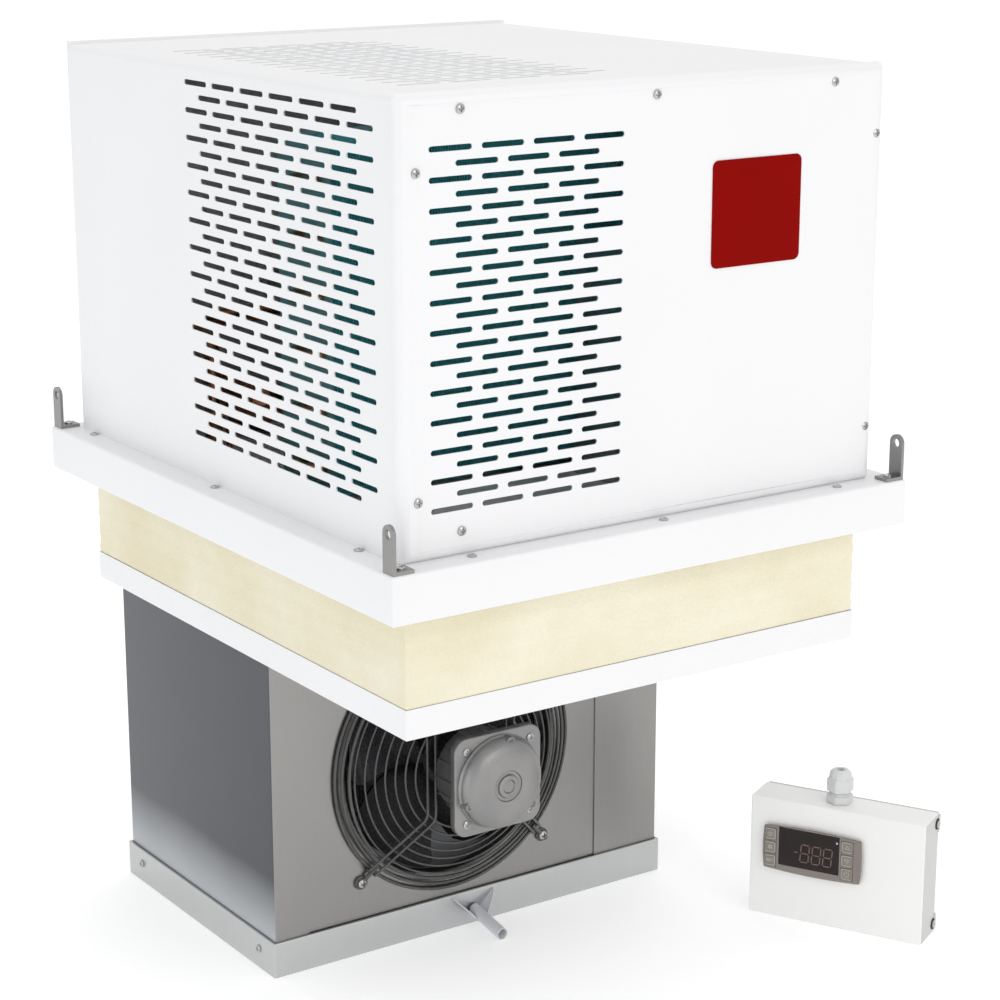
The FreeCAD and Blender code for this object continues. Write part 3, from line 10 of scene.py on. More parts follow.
import bmesh
import bpy
import numpy as np
from bpy.props import FloatProperty, FloatVectorProperty, IntProperty, PointerProperty
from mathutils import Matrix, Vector


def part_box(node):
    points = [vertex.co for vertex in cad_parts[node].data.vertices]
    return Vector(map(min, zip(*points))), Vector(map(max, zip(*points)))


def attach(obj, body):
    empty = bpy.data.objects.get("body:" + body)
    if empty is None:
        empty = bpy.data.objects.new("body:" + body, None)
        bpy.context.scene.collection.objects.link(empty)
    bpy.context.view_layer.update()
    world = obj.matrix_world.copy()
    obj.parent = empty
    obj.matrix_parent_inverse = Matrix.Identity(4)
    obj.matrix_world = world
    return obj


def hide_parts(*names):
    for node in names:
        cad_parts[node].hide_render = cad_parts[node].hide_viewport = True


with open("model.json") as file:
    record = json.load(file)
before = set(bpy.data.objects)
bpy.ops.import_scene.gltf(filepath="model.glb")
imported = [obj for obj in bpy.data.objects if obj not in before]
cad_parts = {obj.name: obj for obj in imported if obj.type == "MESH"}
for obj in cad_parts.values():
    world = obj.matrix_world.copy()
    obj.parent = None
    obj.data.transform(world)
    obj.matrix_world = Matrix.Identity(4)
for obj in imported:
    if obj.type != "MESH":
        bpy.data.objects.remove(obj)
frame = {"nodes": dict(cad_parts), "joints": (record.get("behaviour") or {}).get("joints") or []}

bl_info = {
    "name": "Ceiling refrigeration unit",
    "version": (1, 0, 0),
    "blender": (4, 5, 0),
    "location": "View3D > Sidebar > Cooling unit",
    "description": "Builds the housing, evaporator, machinery and control box over the CAD frame",
    "category": "Object",
}

MM = 0.001
TURN = 2 * math.pi
# A direction along no pipe, which steadies the sides of a tube
SLANT = np.array([0.31, 0.52, 0.79])
# A point that lies behind every sheet that holds screws
INSIDE = np.array([0, -0.128, 0.3])
# Local X, Y and Z of a piece that is drawn flat and stands on one of the unit's sides
FRONT = np.array([[1, 0, 0], [0, 0, 1], [0, -1, 0]], float)
REAR = np.array([[-1, 0, 0], [0, 0, 1], [0, 1, 0]], float)
LEFT = np.array([[0, -1, 0], [0, 0, 1], [-1, 0, 0]], float)
RIGHT = np.array([[0, 1, 0], [0, 0, 1], [1, 0, 0]], float)
UPRIGHT = np.eye(3)
# The camera, fitted to the photograph: its place, turn and rise, and focal length over sensor
CAMERA_PLACE = (-1.275, -2.054, 1.044)
CAMERA_TURN, CAMERA_RISE = math.radians(-34.44), math.radians(14.93)
CAMERA_WIDTH, CAMERA_REACH = 36, 2.4944
# Each lamp's name, place, power, width and colour
WHITE, SKY = (1, 1, 1), (0.78, 0.89, 1)
LAMPS = (("front_lamp", (0.3, -3.3, 1.8), 16, 1.8, WHITE),
         ("left_lamp", (-3.2, -0.8, 0.7), 8, 2.0, SKY),
         ("top_lamp", (0.2, 0.4, 3.2), 14, 2.5, WHITE))
# What the lamps point at
AIM = Vector((0, -0.1, 0.4))


def size(name, number, text, unit="LENGTH"):
    """A size that a user may change."""
    return FloatProperty(name=name, description=text, default=number, unit=unit, precision=4)


def count(name, number, text):
    """A number of like things that a user may change."""
    return IntProperty(name=name, description=text, default=number, min=1)


def tint(name, red, green, blue, text):
    """A colour that a user may change."""
    return FloatVectorProperty(name=name, description=text, default=(red, green, blue),
                               subtype="COLOR", size=3, min=0, max=1)


class HousingSizes(bpy.types.PropertyGroup):
    """Sizes of the housing's folded sheets and of their slots."""

    sheet: size("Sheet", 1.2 * MM, "Thickness of the housing's sheet")
    bend: size("Bend", 6 * MM, "Radius of the hood's folded edges")
    front_edge: size("Front edge", 8 * MM, "Radius of the front sheet's edges")
    hood_gap: size("Hood gap", 0.6 * MM, "Gap between the front sheet's edges and the hood")
    slot_length: size("Slot length", 41 * MM, "Length of a ventilation slot")
    slot_height: size("Slot height", 4.8 * MM, "Height of a ventilation slot")
    slot_pitch: size("Slot pitch", 50 * MM, "Distance between slots in a row")
    slot_rise: size("Row pitch", 12.15 * MM, "Distance between rows of slots")
    columns: count("Slots in a row", 4, "Slots in a row of the front, the top and the rear")
    side_front: size("Side slots, front", 34 * MM, "Distance of the side's slots from the front")
    side_top: size("Side slots, top", 16.3 * MM, "Distance of the side's slots from the top")
    side_columns: count("Side columns", 6, "Slots in a row of the side")
    side_rows: count("Side rows", 27, "Rows of slots in the side")
    front_left: size("Front slots, left", 28.6 * MM, "Distance of the front's slots from the left")
    front_top: size("Front slots, top", 43 * MM, "Distance of the front's slots from the top")
    front_rows: count("Front rows", 25, "Rows of slots in the front")
    top_left: size("Top slots, left", 45 * MM, "Distance of the top's slots from the left")
    top_front: size("Top slots, front", 70 * MM, "Distance of the top's slots from the front")
    top_rows: count("Top rows", 33, "Rows of slots in the top")
    rear_left: size("Rear slots, left", 294 * MM, "Distance of the rear's slots from the left")
    rear_top: size("Rear slots, top", 120 * MM, "Distance of the rear's slots from the top")
    rear_rows: count("Rear rows", 6, "Rows of slots in the rear")
    screw_head: size("Screw head", 8 * MM, "Diameter of a screw's head")
    screw_rise: size("Screw rise", 2.4 * MM, "Height of a screw's head")


class BoxSizes(bpy.types.PropertyGroup):
    """Sizes of the frame, the plug and the evaporator box."""

    frame_lip: size("Frame lip", 28 * MM, "Width of the lip that rests on the roof")
    frame_sheet: size("Frame sheet", 1.5 * MM, "Thickness of the frame's sheet")
    pan_sheet: size("Pan sheet", 1 * MM, "Thickness of the pan under the plug")
    corner: size("Corner", 1.5 * MM, "Radius of the upright corners of frame, pan and tray")
    box_sheet: size("Box sheet", 1.2 * MM, "Thickness of the evaporator box's sheets")
    box_bend: size("Box bend", 2 * MM, "Radius of the side sheets' folds")
    left_fold: size("Left fold", 37 * MM, "Width of the left side's fold on the front")
    right_fold: size("Right fold", 79 * MM, "Width of the right side's fold on the front")
    rear_fold: size("Rear fold", 18 * MM, "Width of the side sheets' folds on the rear")
    inlet: size("Inlet", 119 * MM, "Radius of the drawn inlet")
    inlet_roll: size("Inlet roll", 6 * MM, "Radius of the inlet's rolled edge")
    tray_sheet: size("Tray sheet", 0.9 * MM, "Thickness of the drip tray")
    tray_hem: size("Tray hem", 2.4 * MM, "Width of the tray's folded rim")


class FanSizes(bpy.types.PropertyGroup):
    """Sizes of the fan wheels, of the evaporator fan's guard and of the fins."""

    wire: size("Wire", 3.6 * MM, "Diameter of the guard's thick wires")
    thin_wire: size("Thin wire", 2.2 * MM, "Diameter of the guard's thin wires")
    guard_radius: size("Guard radius", 134 * MM, "Radius of the guard's largest ring")
    edge_rings: count("Edge rings", 3, "Thick rings at the guard's edge")
    edge_pitch: size("Edge pitch", 6.4 * MM, "Distance between the thick rings")
    rings: count("Rings", 8, "Places for rings on the guard's cone, the first of them unused")
    ring_pitch: size("Ring pitch", 9 * MM, "Distance between the guard's rings")
    leg_near: size("Leg's inner end", 45 * MM, "Place of a leg's inner bend across and up")
    leg_edge: size("Leg's outer end", 97 * MM, "Place of a leg's outer end across and up")
    leg_gap: size("Leg gap", 9 * MM, "Distance between a leg's two wires")
    leg_offset: size("Leg offset", 106 * MM, "Place of a guard leg's foot across and up")
    blades: count("Blades", 5, "Blades of a fan wheel")
    blade_sheet: size("Blade sheet", 2.4 * MM, "Thickness of a blade")
    fin_pitch: size("Evaporator fin pitch", 4.2 * MM, "Distance between the evaporator's fins")
    condenser_pitch: size("Condenser fin pitch", 2.8 * MM, "Distance between the condenser's fins")
    tube_pitch: size("Tube pitch", 50 * MM, "Distance between the levels of a coil's tubes")


class ControlSizes(bpy.types.PropertyGroup):
    """Sizes and place of the remote control box."""

    x: size("X", 240 * MM, "Place of the box's corner to the right")
    y: size("Y", -286 * MM, "Place of the box's corner in depth")
    turn: size("Turn", math.radians(-62), "Turn of the box about the vertical", "ROTATION")
    width: size("Width", 180 * MM, "Width of the box")
    height: size("Height", 125 * MM, "Height of the box")
    depth: size("Depth", 44 * MM, "Depth of the box")
    facia_left: size("Facia left", 15 * MM, "Distance of the facia from the box's left")
    facia_drop: size("Facia drop", 25 * MM, "Distance of the facia from the box's top")
    facia_width: size("Facia width", 103 * MM, "Width of the facia")
    facia_height: size("Facia height", 49 * MM, "Height of the facia")
    facia_thick: size("Facia thickness", 5 * MM, "How far the facia stands out")
    window_left: size("Window left", 17 * MM, "Distance of the window from the facia's left")
    window_drop: size("Window drop", 1.5 * MM, "Distance of the window from the facia's top")
    window_width: size("Window width", 63 * MM, "Width of the display's window")
    window_height: size("Window height", 40 * MM, "Height of the display's window")
    key: size("Key", 12 * MM, "Width of a key")
    key_pitch: size("Key pitch", 14 * MM, "Distance between keys")
    key_left: size("Left keys", 8.2 * MM, "Distance of the left keys from the facia's left")
    key_right: size("Right keys", 14.8 * MM, "Distance of the right keys from the facia's right")
    gland_x: size("Gland place", 84 * MM, "Distance of the gland from the box's left")
    cover_gap: size("Cover gap", 6 * MM, "Distance of the cover's rim from the box's back")
    tab: size("Tab", 20 * MM, "Distance of a tab's end from the box's top or bottom")
    screw_inset: size("Screw inset", 10 * MM, "Distance of the side screws from the box's edges")


class UnitColours(bpy.types.PropertyGroup):
    """Colours of the unit's finishes."""

    casing: tint("Casing", 0.84, 0.84, 0.85, "Powder coat of the housing and the frame")
    control: tint("Control box", 0.88, 0.875, 0.862, "Powder coat of the control box")
    steel: tint("Lug steel", 0.33, 0.325, 0.32, "Plated steel of the lifting lugs")
    foam: tint("Foam", 0.75, 0.69, 0.50, "Cut foam of the plug")
    sheet: tint("Bare sheet", 0.345, 0.335, 0.325, "Metal sheet of the evaporator box's front")
    bright: tint("Bright sheet", 0.60, 0.61, 0.61, "Brighter metal sheet, as of the tray")
    # Painted shade: a dark copy of the evaporator box's sheet, for the box's sides and the inner sides
    # of sheets
    dull: tint("Dull sheet", 0.076, 0.080, 0.087, "Metal sheet of the evaporator box's sides")
    cast: tint("Cast metal", 0.31, 0.305, 0.30, "Die-cast motor housing")
    zinc: tint("Zinc", 0.52, 0.51, 0.50, "Zinc plate of screws and shafts")
    drain: tint("Drain", 0.62, 0.63, 0.66, "Light alloy of the drain")
    # Painted shade: a darker copy of the control box's coat, for its right side, its tabs and its back
    # tray
    control_coat_painted_shade: tint("Control box sides", 0.56, 0.555, 0.54, "Coat of the control box's edges")
    copper: tint("Copper", 0.70, 0.33, 0.18, "Copper tubes")
    coat: tint("Coil coat", 0.07, 0.22, 0.235, "Blue-green coat of the condenser's sheets")
    # Painted light: the coil's blue-green coat made much lighter on the fins, standing in for light
    # that hardly reaches between them
    fins: tint("Fin coat", 0.11, 0.60, 0.64, "Blue-green coat of the condenser's fins")
    black: tint("Black", 0.012, 0.012, 0.014, "Black paint, wire and plastic")
    guard: tint("Guard", 0.04, 0.04, 0.038, "Enamel of the fan guard's wires")
    badge: tint("Badge", 0.255, 0.002, 0.001, "The plain plate on the front")
    facia: tint("Facia", 0.205, 0.178, 0.158, "The controller's facia")
    window: tint("Window", 0.012, 0.006, 0.006, "The display's dark window")
    print: tint("Print", 0.50, 0.49, 0.46, "The marks on the keys")
    figure: tint("Figures", 0.17, 0.10, 0.08, "The display's unlit figures")
    gland: tint("Gland", 0.62, 0.63, 0.63, "Plastic of the cable glands")


class Number:
    """A shader socket's value; each operator on it adds the Math node that works it out."""

    def __init__(self, finish, socket):
        self.finish = finish
        self.socket = socket

    def __add__(self, other):
        return self.finish.maths("ADD", self, other)

    def __mul__(self, other):
        return self.finish.maths("MULTIPLY", self, other)


class Finish:
    """A material: one Principled shader and the nodes that feed it."""

    def __init__(self, name, colour, rough, metal=0.0):
        self.material = bpy.data.materials.new(name)
        self.material.use_nodes = True
        self.tree = self.material.node_tree
        self.shader = self.tree.nodes["Principled BSDF"]
        self.colour = (*colour, 1.0)
        self.set("Base Color", self.colour)
        self.set("Roughness", rough)
        self.set("Metallic", metal)

    def set(self, socket, value):
        """Gives a socket of the shader a value or a link."""
        self.feed(self.shader.inputs[socket], value)

    def feed(self, socket, value):
        if isinstance(value, Number):
            self.tree.links.new(value.socket, socket)
        else:
            socket.default_value = value

    def node(self, kind, settings=None, inputs=None, output=0):
        """Adds a node: its settings first, then its sockets' values or links."""
        made = self.tree.nodes.new("ShaderNode" + kind)
        for name, setting in (settings or {}).items():
            if name == "stops":
                for element, (place, shade) in zip(made.color_ramp.elements, setting):
                    element.position = place
                    element.color = (shade, shade, shade, 1)
            else:
                setattr(made, name, setting)
        for socket, value in (inputs or {}).items():
            self.feed(made.inputs[socket], value)
        return Number(self, made.outputs[output])

    def maths(self, operation, first, second):
        return self.node("Math", {"operation": operation}, {0: first, 1: second})

    def place(self, stretch=(1, 1, 1)):
        """The point on the object, stretched along its axes."""
        point = self.node("TexCoord", output="Object")
        return self.node("Mapping", inputs={"Vector": point, "Scale": stretch})

    def noise(self, scale, detail=3.0, stretch=(1, 1, 1)):
        """Soft random shade from 0 to 1."""
        return self.node("TexNoise", inputs={
            "Vector": self.place(stretch), "Scale": scale, "Detail": detail})

    def cells(self, scale, stretch=(1, 1, 1), output="Distance"):
        """Shade of a field of random cells."""
        return self.node("TexVoronoi", inputs={
            "Vector": self.place(stretch), "Scale": scale}, output=output)

    def ramp(self, value, low, high, dark=0.0, light=1.0):
        """Maps a span of a value to shades from dark to light."""
        return self.node("ValToRGB", {"stops": ((low, dark), (high, light))}, {"Fac": value})

    def blend(self, factor, first, second):
        """A mix of two colours."""
        return self.node("Mix", {"data_type": "RGBA"}, {0: factor, 6: first, 7: second}, 2)

    def vary(self, factor, amount, shade=(0, 0, 0, 1)):
        """Moves the base colour towards a shade by a factor."""
        self.set("Base Color", self.blend(factor * amount, self.colour, shade))
        return self

    def bump(self, height, depth):
        """Raises the surface by a height, given a depth in metres."""
        self.set("Normal", self.node("Bump", inputs={
            "Height": height, "Distance": depth, "Strength": 1.0}))
        return self


def powder_coat(name, colour):
    """Satin powder coat: a fine orange peel, slightly uneven sheen and faint dust."""
    finish = Finish(name, colour, 0.4)
    finish.vary(finish.noise(7.0, 5.0), 0.09, (0.45, 0.44, 0.42, 1))
    finish.set("Roughness", finish.noise(60.0) * 0.14 + 0.34)
    return finish.bump(finish.noise(700.0, 2.0), 0.00012)


def bare_sheet(name, colour):
    """Rolled metal sheet: cloudy patches, faint streaks along the rolling and a fine grain."""
    finish = Finish(name, colour, 0.34, 1.0)
    cloud = finish.noise(5.0, 4.0, (1, 1, 0.5))
    streak = finish.noise(240.0, 3.0, (1, 1, 0.06))
    grain = finish.noise(900.0, 2.0)
    dark = tuple(c * 0.6 for c in colour)
    finish.vary(cloud * 0.6 + streak * 0.15 + grain * 0.25, 0.5, (*dark, 1))
    finish.set("Roughness", cloud * 0.2 + streak * 0.05 + 0.22)
    return finish.bump(grain, 0.00003)


def sheet_with_painted_floor_reflection(name, colour):
    """Rolled sheet, given a dark colour as painted shade, with a painted reflection of the floor as a
    pale band in its lowest part.
    """
    finish = Finish(name, colour, 0.4, 1.0)
    point = finish.node("TexCoord", output="Object")
    rise = finish.node("SeparateXYZ", inputs={"Vector": point}, output=2)
    # Painted reflection: the base colour turns pale towards the sheet's lowest part, as if the floor
    # were mirrored there
    band = finish.ramp(rise + finish.noise(7.0) * 0.02, 0.04, 0.11, 1.0, 0.0)
    grain = finish.noise(700.0, 3.0) * 0.6 + finish.noise(12.0, 4.0) * 0.4
    shade = finish.blend(grain, finish.colour, (*(c * 1.6 for c in colour), 1))
    finish.set("Base Color", finish.blend(band, shade, (0.50, 0.52, 0.54, 1)))
    finish.set("Roughness", grain * 0.15 + 0.3)
    return finish.bump(grain, 0.00003)


def galvanised(name, colour):
    """Zinc coated sheet with its frost-like spangle."""
    finish = Finish(name, colour, 0.4, 1.0)
    flake = finish.cells(90.0, output="Color")
    finish.vary(flake * 0.7 + finish.noise(14.0) * 0.3, 0.45, (0.2, 0.205, 0.21, 1))
    finish.set("Roughness", flake * 0.25 + 0.28)
    return finish.bump(finish.noise(260.0), 0.00008)


def cast_metal(name, colour):
    """Die-cast metal: a fine grainy skin with darker hollows."""
    finish = Finish(name, colour, 0.45, 0.9)
    grain = finish.noise(420.0, 4.0)
    finish.vary(finish.ramp(finish.noise(38.0, 4.0), 0.35, 0.7), 0.35, (0.2, 0.2, 0.21, 1))
    finish.set("Roughness", grain * 0.25 + 0.3)
    return finish.bump(grain, 0.00016)


def zinc_screw(name, colour):
    """Bright zinc plate with small scuffs."""
    finish = Finish(name, colour, 0.28, 1.0)
    scuff = finish.ramp(finish.noise(900.0, 3.0), 0.45, 0.62)
    finish.vary(scuff, 0.3, (0.25, 0.25, 0.25, 1))
    finish.set("Roughness", scuff * 0.3 + 0.2)
    return finish.bump(scuff, 0.00003)


def cut_foam(name, colour):
    """Rigid foam cut by wire: fine pores, faint saw lines and uneven yellowing."""
    finish = Finish(name, colour, 0.92)
    pore = finish.cells(420.0)
    cloud = finish.noise(9.0, 5.0)
    finish.set("Base Color", finish.blend(
        finish.ramp(cloud + pore * 0.1, 0.4, 0.72), finish.colour, (0.83, 0.785, 0.63, 1)))
    lines = finish.noise(60.0, 2.0, (0.2, 0.2, 3.0))
    return finish.bump(pore * 0.6 + lines * 0.5, 0.0005)


def copper_tube(name, colour):
    """Drawn copper: tarnished patches that are duller and browner."""
    finish = Finish(name, colour, 0.3, 1.0)
    patch = finish.ramp(finish.noise(24.0, 5.0), 0.4, 0.65)
    finish.vary(patch, 0.6, (0.28, 0.12, 0.06, 1))
    finish.set("Roughness", patch * 0.3 + 0.22)
    return finish.bump(finish.noise(500.0), 0.00005)


def moulded(name, colour, rough=0.5, grain=650.0):
    """Moulded plastic with a fine spark-eroded grain."""
    finish = Finish(name, colour, rough)
    skin = finish.noise(grain, 2.0)
    finish.vary(finish.noise(20.0), 0.15, (*[c * 1.6 + 0.01 for c in colour], 1))
    finish.set("Roughness", skin * 0.16 + (rough - 0.08))
    return finish.bump(skin, 0.00008)


def black_paint(name, colour, rough=0.24):
    """Black stove enamel, thick and slightly wavy, with dust where it is dull."""
    finish = Finish(name, colour, rough)
    dust = finish.ramp(finish.noise(30.0, 5.0), 0.5, 0.75)
    finish.vary(dust, 0.1, (0.3, 0.29, 0.27, 1))
    finish.set("Roughness", dust * 0.3 + rough)
    finish.set("Coat Weight", 0.5)
    return finish.bump(finish.noise(220.0), 0.00012)


def fan_black(name, colour):
    """Glossy black moulding, which stays deep in bright surroundings."""
    finish = Finish(name, colour, 0.3)
    finish.set("Specular IOR Level", 0.2)
    finish.set("Roughness", finish.noise(300.0) * 0.1 + 0.22)
    return finish.bump(finish.noise(500.0), 0.00006)


def badge_film(name, colour):
    """Satin film, which keeps its deep colour in bright light."""
    finish = Finish(name, colour, 0.55)
    finish.set("Specular IOR Level", 0.03)
    finish.vary(finish.noise(14.0), 0.12)
    finish.set("Roughness", finish.noise(400.0) * 0.1 + 0.5)
    return finish


def smoked_window(name, colour):
    """The display's dark glossy window, with a faint wave in it."""
    finish = Finish(name, colour, 0.08)
    finish.set("Specular IOR Level", 0.25)
    finish.set("Coat Weight", 0.1)
    finish.set("Roughness", finish.noise(90.0) * 0.08 + 0.05)
    return finish.bump(finish.noise(24.0), 0.00005)


def printed(name, colour):
    """Ink printed on plastic."""
    finish = Finish(name, colour, 0.6)
    finish.vary(finish.noise(1500.0), 0.15)
    return finish


MAKERS = {
    "casing_coat": (powder_coat, "casing"),
    "control_coat": (powder_coat, "control"),
    "control_coat_painted_shade": (powder_coat, "control_coat_painted_shade"),
    "drain_alloy": (powder_coat, "drain"),
    "lug_steel": (bare_sheet, "steel"),
    "plug_foam": (cut_foam, "foam"),
    "box_sheet": (bare_sheet, "sheet"),
    "tray_sheet": (bare_sheet, "bright"),
    # Painted shade: the next two finishes use the dark copy of the sheet for the evaporator box's
    # sides and the inner sides of sheets
    "side_sheet_painted_shade": (sheet_with_painted_floor_reflection, "dull"),
    "inner_sheet_painted_shade": (bare_sheet, "dull"),
    "fin_sheet": (powder_coat, "bright"),
    "zinc_sheet": (galvanised, "bright"),
    "motor_casting": (cast_metal, "cast"),
    "screw_zinc": (zinc_screw, "zinc"),
    "tube_copper": (copper_tube, "copper"),
    "guard_enamel": (black_paint, "guard"),
    "shell_enamel": (black_paint, "black"),
    "fan_plastic": (fan_black, "black"),
    "coil_coat": (moulded, "coat"),
    "fin_coat_painted_light": (moulded, "fins"),
    "rubber": (moulded, "black"),
    "badge_film": (badge_film, "badge"),
    "facia_plastic": (moulded, "facia"),
    "key_plastic": (moulded, "facia"),
    "window_plastic": (smoked_window, "window"),
    "key_print": (printed, "print"),
    "figure_print": (printed, "figure"),
    "lamp_lens": (moulded, "print"),
    "gland_plastic": (moulded, "gland"),
}


def finish(name):
    """The named material, made when it is first asked for."""
    if name not in bpy.data.materials:
        maker, colour = MAKERS[name]
        maker(name, getattr(bpy.context.scene.unit_colours, colour))
    return bpy.data.materials[name]


def dress(material, *nodes):
    """Gives CAD nodes a finish."""
    for node in nodes:
        for slot in frame["nodes"][node].material_slots:
            slot.material = finish(material)


def corners(node):
    """A CAD node's lowest and highest corner as arrays."""
    low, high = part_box(node)
    return np.array(low), np.array(high)


def spans(node):
    """Half of a CAD node's size, its middle and its height."""
    low, high = corners(node)
    return (high - low) / 2, (high + low) / 2, high[2] - low[2]


def grid_faces(rows, columns, close_rows=False, close_columns=False):
    """Four-sided faces between neighbours of a grid of points, joined round where it closes."""
    row, column = np.meshgrid(
        np.arange(rows - (not close_rows)), np.arange(columns - (not close_columns)), indexing="ij"
    )
    next_row, next_column = (row + 1) % rows, (column + 1) % columns
    faces = [row * columns + column, row * columns + next_column,
             next_row * columns + next_column, next_row * columns + column]
    return np.stack(faces, -1).reshape(-1, 4)


def form(points, close_rows=False, close_columns=True):
    """Points on a grid with the faces between them."""
    rows, columns = points.shape[:2]
    return points.reshape(-1, 3), grid_faces(rows, columns, close_rows, close_columns)


def join(parts):
    """Several forms as one."""
    starts = np.cumsum([0] + [len(points) for points, _ in parts[:-1]])
    points = np.concatenate([points for points, _ in parts])
    return points, np.concatenate([faces + start for (_, faces), start in zip(parts, starts)])


def repeat(part, places):
    """Copies of a form at several places."""
    points, faces = part
    places = np.asarray(places, float).reshape(-1, 3)
    many = (points[None] + places[:, None]).reshape(-1, 3)
    starts = np.arange(len(places)) * len(points)
    return many, (faces[None] + starts[:, None, None]).reshape(-1, 4)


def move(part, axes=UPRIGHT, place=(0, 0, 0)):
    """A form whose own X, Y and Z are turned to the rows of axes, then moved."""
    points, faces = part
    return points @ np.asarray(axes) + np.asarray(place), faces


def around(part, copies, start=0.0):
    """Copies of a form turned evenly about Z."""
    angles = start + np.arange(copies) * TURN / copies
    turned = [move(part, turn_z(angle)) for angle in angles]
    return join(turned)


def turn_z(angle):
    """Axes turned about Z."""
    c, s = math.cos(angle), math.sin(angle)
    return np.array([[c, s, 0], [-s, c, 0], [0, 0, 1]])


def rounded(points, radius, steps=4):
    """A run of points whose inner corners are replaced by parabolas that touch both sides."""
    points = np.asarray(points, float)
    before, at, after = points[:-2], points[1:-1], points[2:]
    near = np.linalg.norm(before - at, axis=1)
    far = np.linalg.norm(after - at, axis=1)
    cut = np.minimum(radius, 0.48 * np.minimum(near, far))
    start = at + (before - at) * (cut / near)[:, None]
    end = at + (after - at) * (cut / far)[:, None]
    t = np.linspace(0, 1, steps + 1)[None, :, None]
    curve = (1 - t) ** 2 * start[:, None] + 2 * t * (1 - t) * at[:, None] + t**2 * end[:, None]
    return np.concatenate([points[:1], curve.reshape(-1, points.shape[1]), points[-1:]])


def tube(path, radius, sides=12, closed=False):
    """A circle carried along a path, square to it, with flat ends."""
    path = np.asarray(path, float)
    if closed:
        run = np.roll(path, -1, 0) - np.roll(path, 1, 0)
    else:
        run = np.gradient(path, axis=0)
    run /= np.linalg.norm(run, axis=1)[:, None]
    side = np.cross(run, SLANT)
    side /= np.linalg.norm(side, axis=1)[:, None]
    up = np.cross(run, side)
    angle = np.linspace(0, TURN, sides, endpoint=False)[None, :, None]
    rings = path[:, None] + radius * (np.cos(angle) * side[:, None] + np.sin(angle) * up[:, None])
    if closed:
        return form(rings, close_rows=True)
    first = np.repeat(path[:1, None], sides, 1)
    last = np.repeat(path[-1:, None], sides, 1)
    return form(np.concatenate([first, rings, last]))


def lathe(profile, steps=48):
    """A profile of (radius, height) pairs turned about Z; ends off the axis are closed flat."""
    radius, height = np.asarray(profile, float).T
    radius = np.concatenate([[0], radius, [0]])
    height = np.concatenate([height[:1], height, height[-1:]])
    angle = np.linspace(0, TURN, steps, endpoint=False)
    x = radius[:, None] * np.cos(angle)
    y = radius[:, None] * np.sin(angle)
    return form(np.stack([x, y, np.broadcast_to(height[:, None], x.shape)], -1))


def outline_of(half_x, half_y, out, corner, steps=5):
    """A rectangle with rounded corners, moved outwards; corners that would turn over stay sharp."""
    reach = max(corner + out, 0.0)
    quarter = np.repeat(np.arange(4), steps + 1)
    angle = quarter * math.pi / 2 + np.tile(np.linspace(0, math.pi / 2, steps + 1), 4)
    sign_x = np.array([1, -1, -1, 1])[quarter]
    sign_y = np.array([1, 1, -1, -1])[quarter]
    x = sign_x * (half_x + out - reach) + reach * np.cos(angle)
    y = sign_y * (half_y + out - reach) + reach * np.sin(angle)
    return x, y


def skirt(profile, half_x, half_y, corner=2 * MM, steps=5):
    """A profile of (out, up) pairs carried round a rectangle with rounded corners."""
    loops = []
    for out, up in profile:
        x, y = outline_of(half_x, half_y, out, corner, steps)
        loops.append(np.stack([x, y, np.full_like(x, up)], -1))
    return form(np.array(loops))


def block(half_x, half_y, low, high, corner=2 * MM, edge=1 * MM, steps=4):
    """A solid block: a skirt with rounded top and bottom edges, closed at both ends."""
    inner = -min(half_x, half_y)
    profile = rounded([(inner, low), (0, low), (0, high), (inner, high)], edge)
    return skirt(profile, half_x, half_y, corner, steps)


def leaf(points, offset):
    """A thin closed sheet: a grid of points thickened to both sides by half an offset."""
    front, back = points + offset / 2, points - offset / 2
    ring = np.concatenate([front, back[:, ::-1]], axis=1)
    ends = np.concatenate([points, points[:, ::-1]], axis=1)
    return form(np.concatenate([ends[:1], ring, ends[-1:]]))


def patches(left, right, low, high):
    """Flat rectangles in X and Y, one for each set of sides."""
    left, right, low, high = (np.atleast_1d(np.asarray(side, float)) for side in
                              np.broadcast_arrays(left, right, low, high))
    corner = np.stack([[left, low], [right, low], [right, high], [left, high]])
    points = np.moveaxis(corner, 2, 0).reshape(-1, 2)
    points = np.column_stack([points, np.zeros(len(points))])
    return points, np.arange(len(points)).reshape(-1, 4)


def slot_tile(pitch, rise, length, height):
    """The faces between a rectangle and the round-ended slot in its middle."""
    ends, runs = 6, 4
    up = np.linspace(-0.5, 0.5, ends + 1)
    across = np.linspace(0.5, -0.5, runs + 1)[1:-1]
    ones = np.ones(ends + 1)
    outer_x = np.concatenate([0.5 * ones, across, -0.5 * ones, -across]) * pitch
    outer_y = np.concatenate([up, 0.5 + 0 * across, -up, -0.5 + 0 * across]) * rise
    arc = up * math.pi
    radius, straight = height / 2, length / 2 - height / 2
    inner_x = np.concatenate([straight + radius * np.cos(arc), across * 2 * straight,
                              -straight - radius * np.cos(arc), -across * 2 * straight])
    inner_y = np.concatenate([radius * np.sin(arc), radius + 0 * across,
                              -radius * np.sin(arc), -radius + 0 * across])
    inner = np.stack([inner_x, inner_y, 0 * inner_x], -1)
    outer = np.stack([outer_x, outer_y, 0 * outer_x], -1)
    return form(np.stack([outer, inner]))


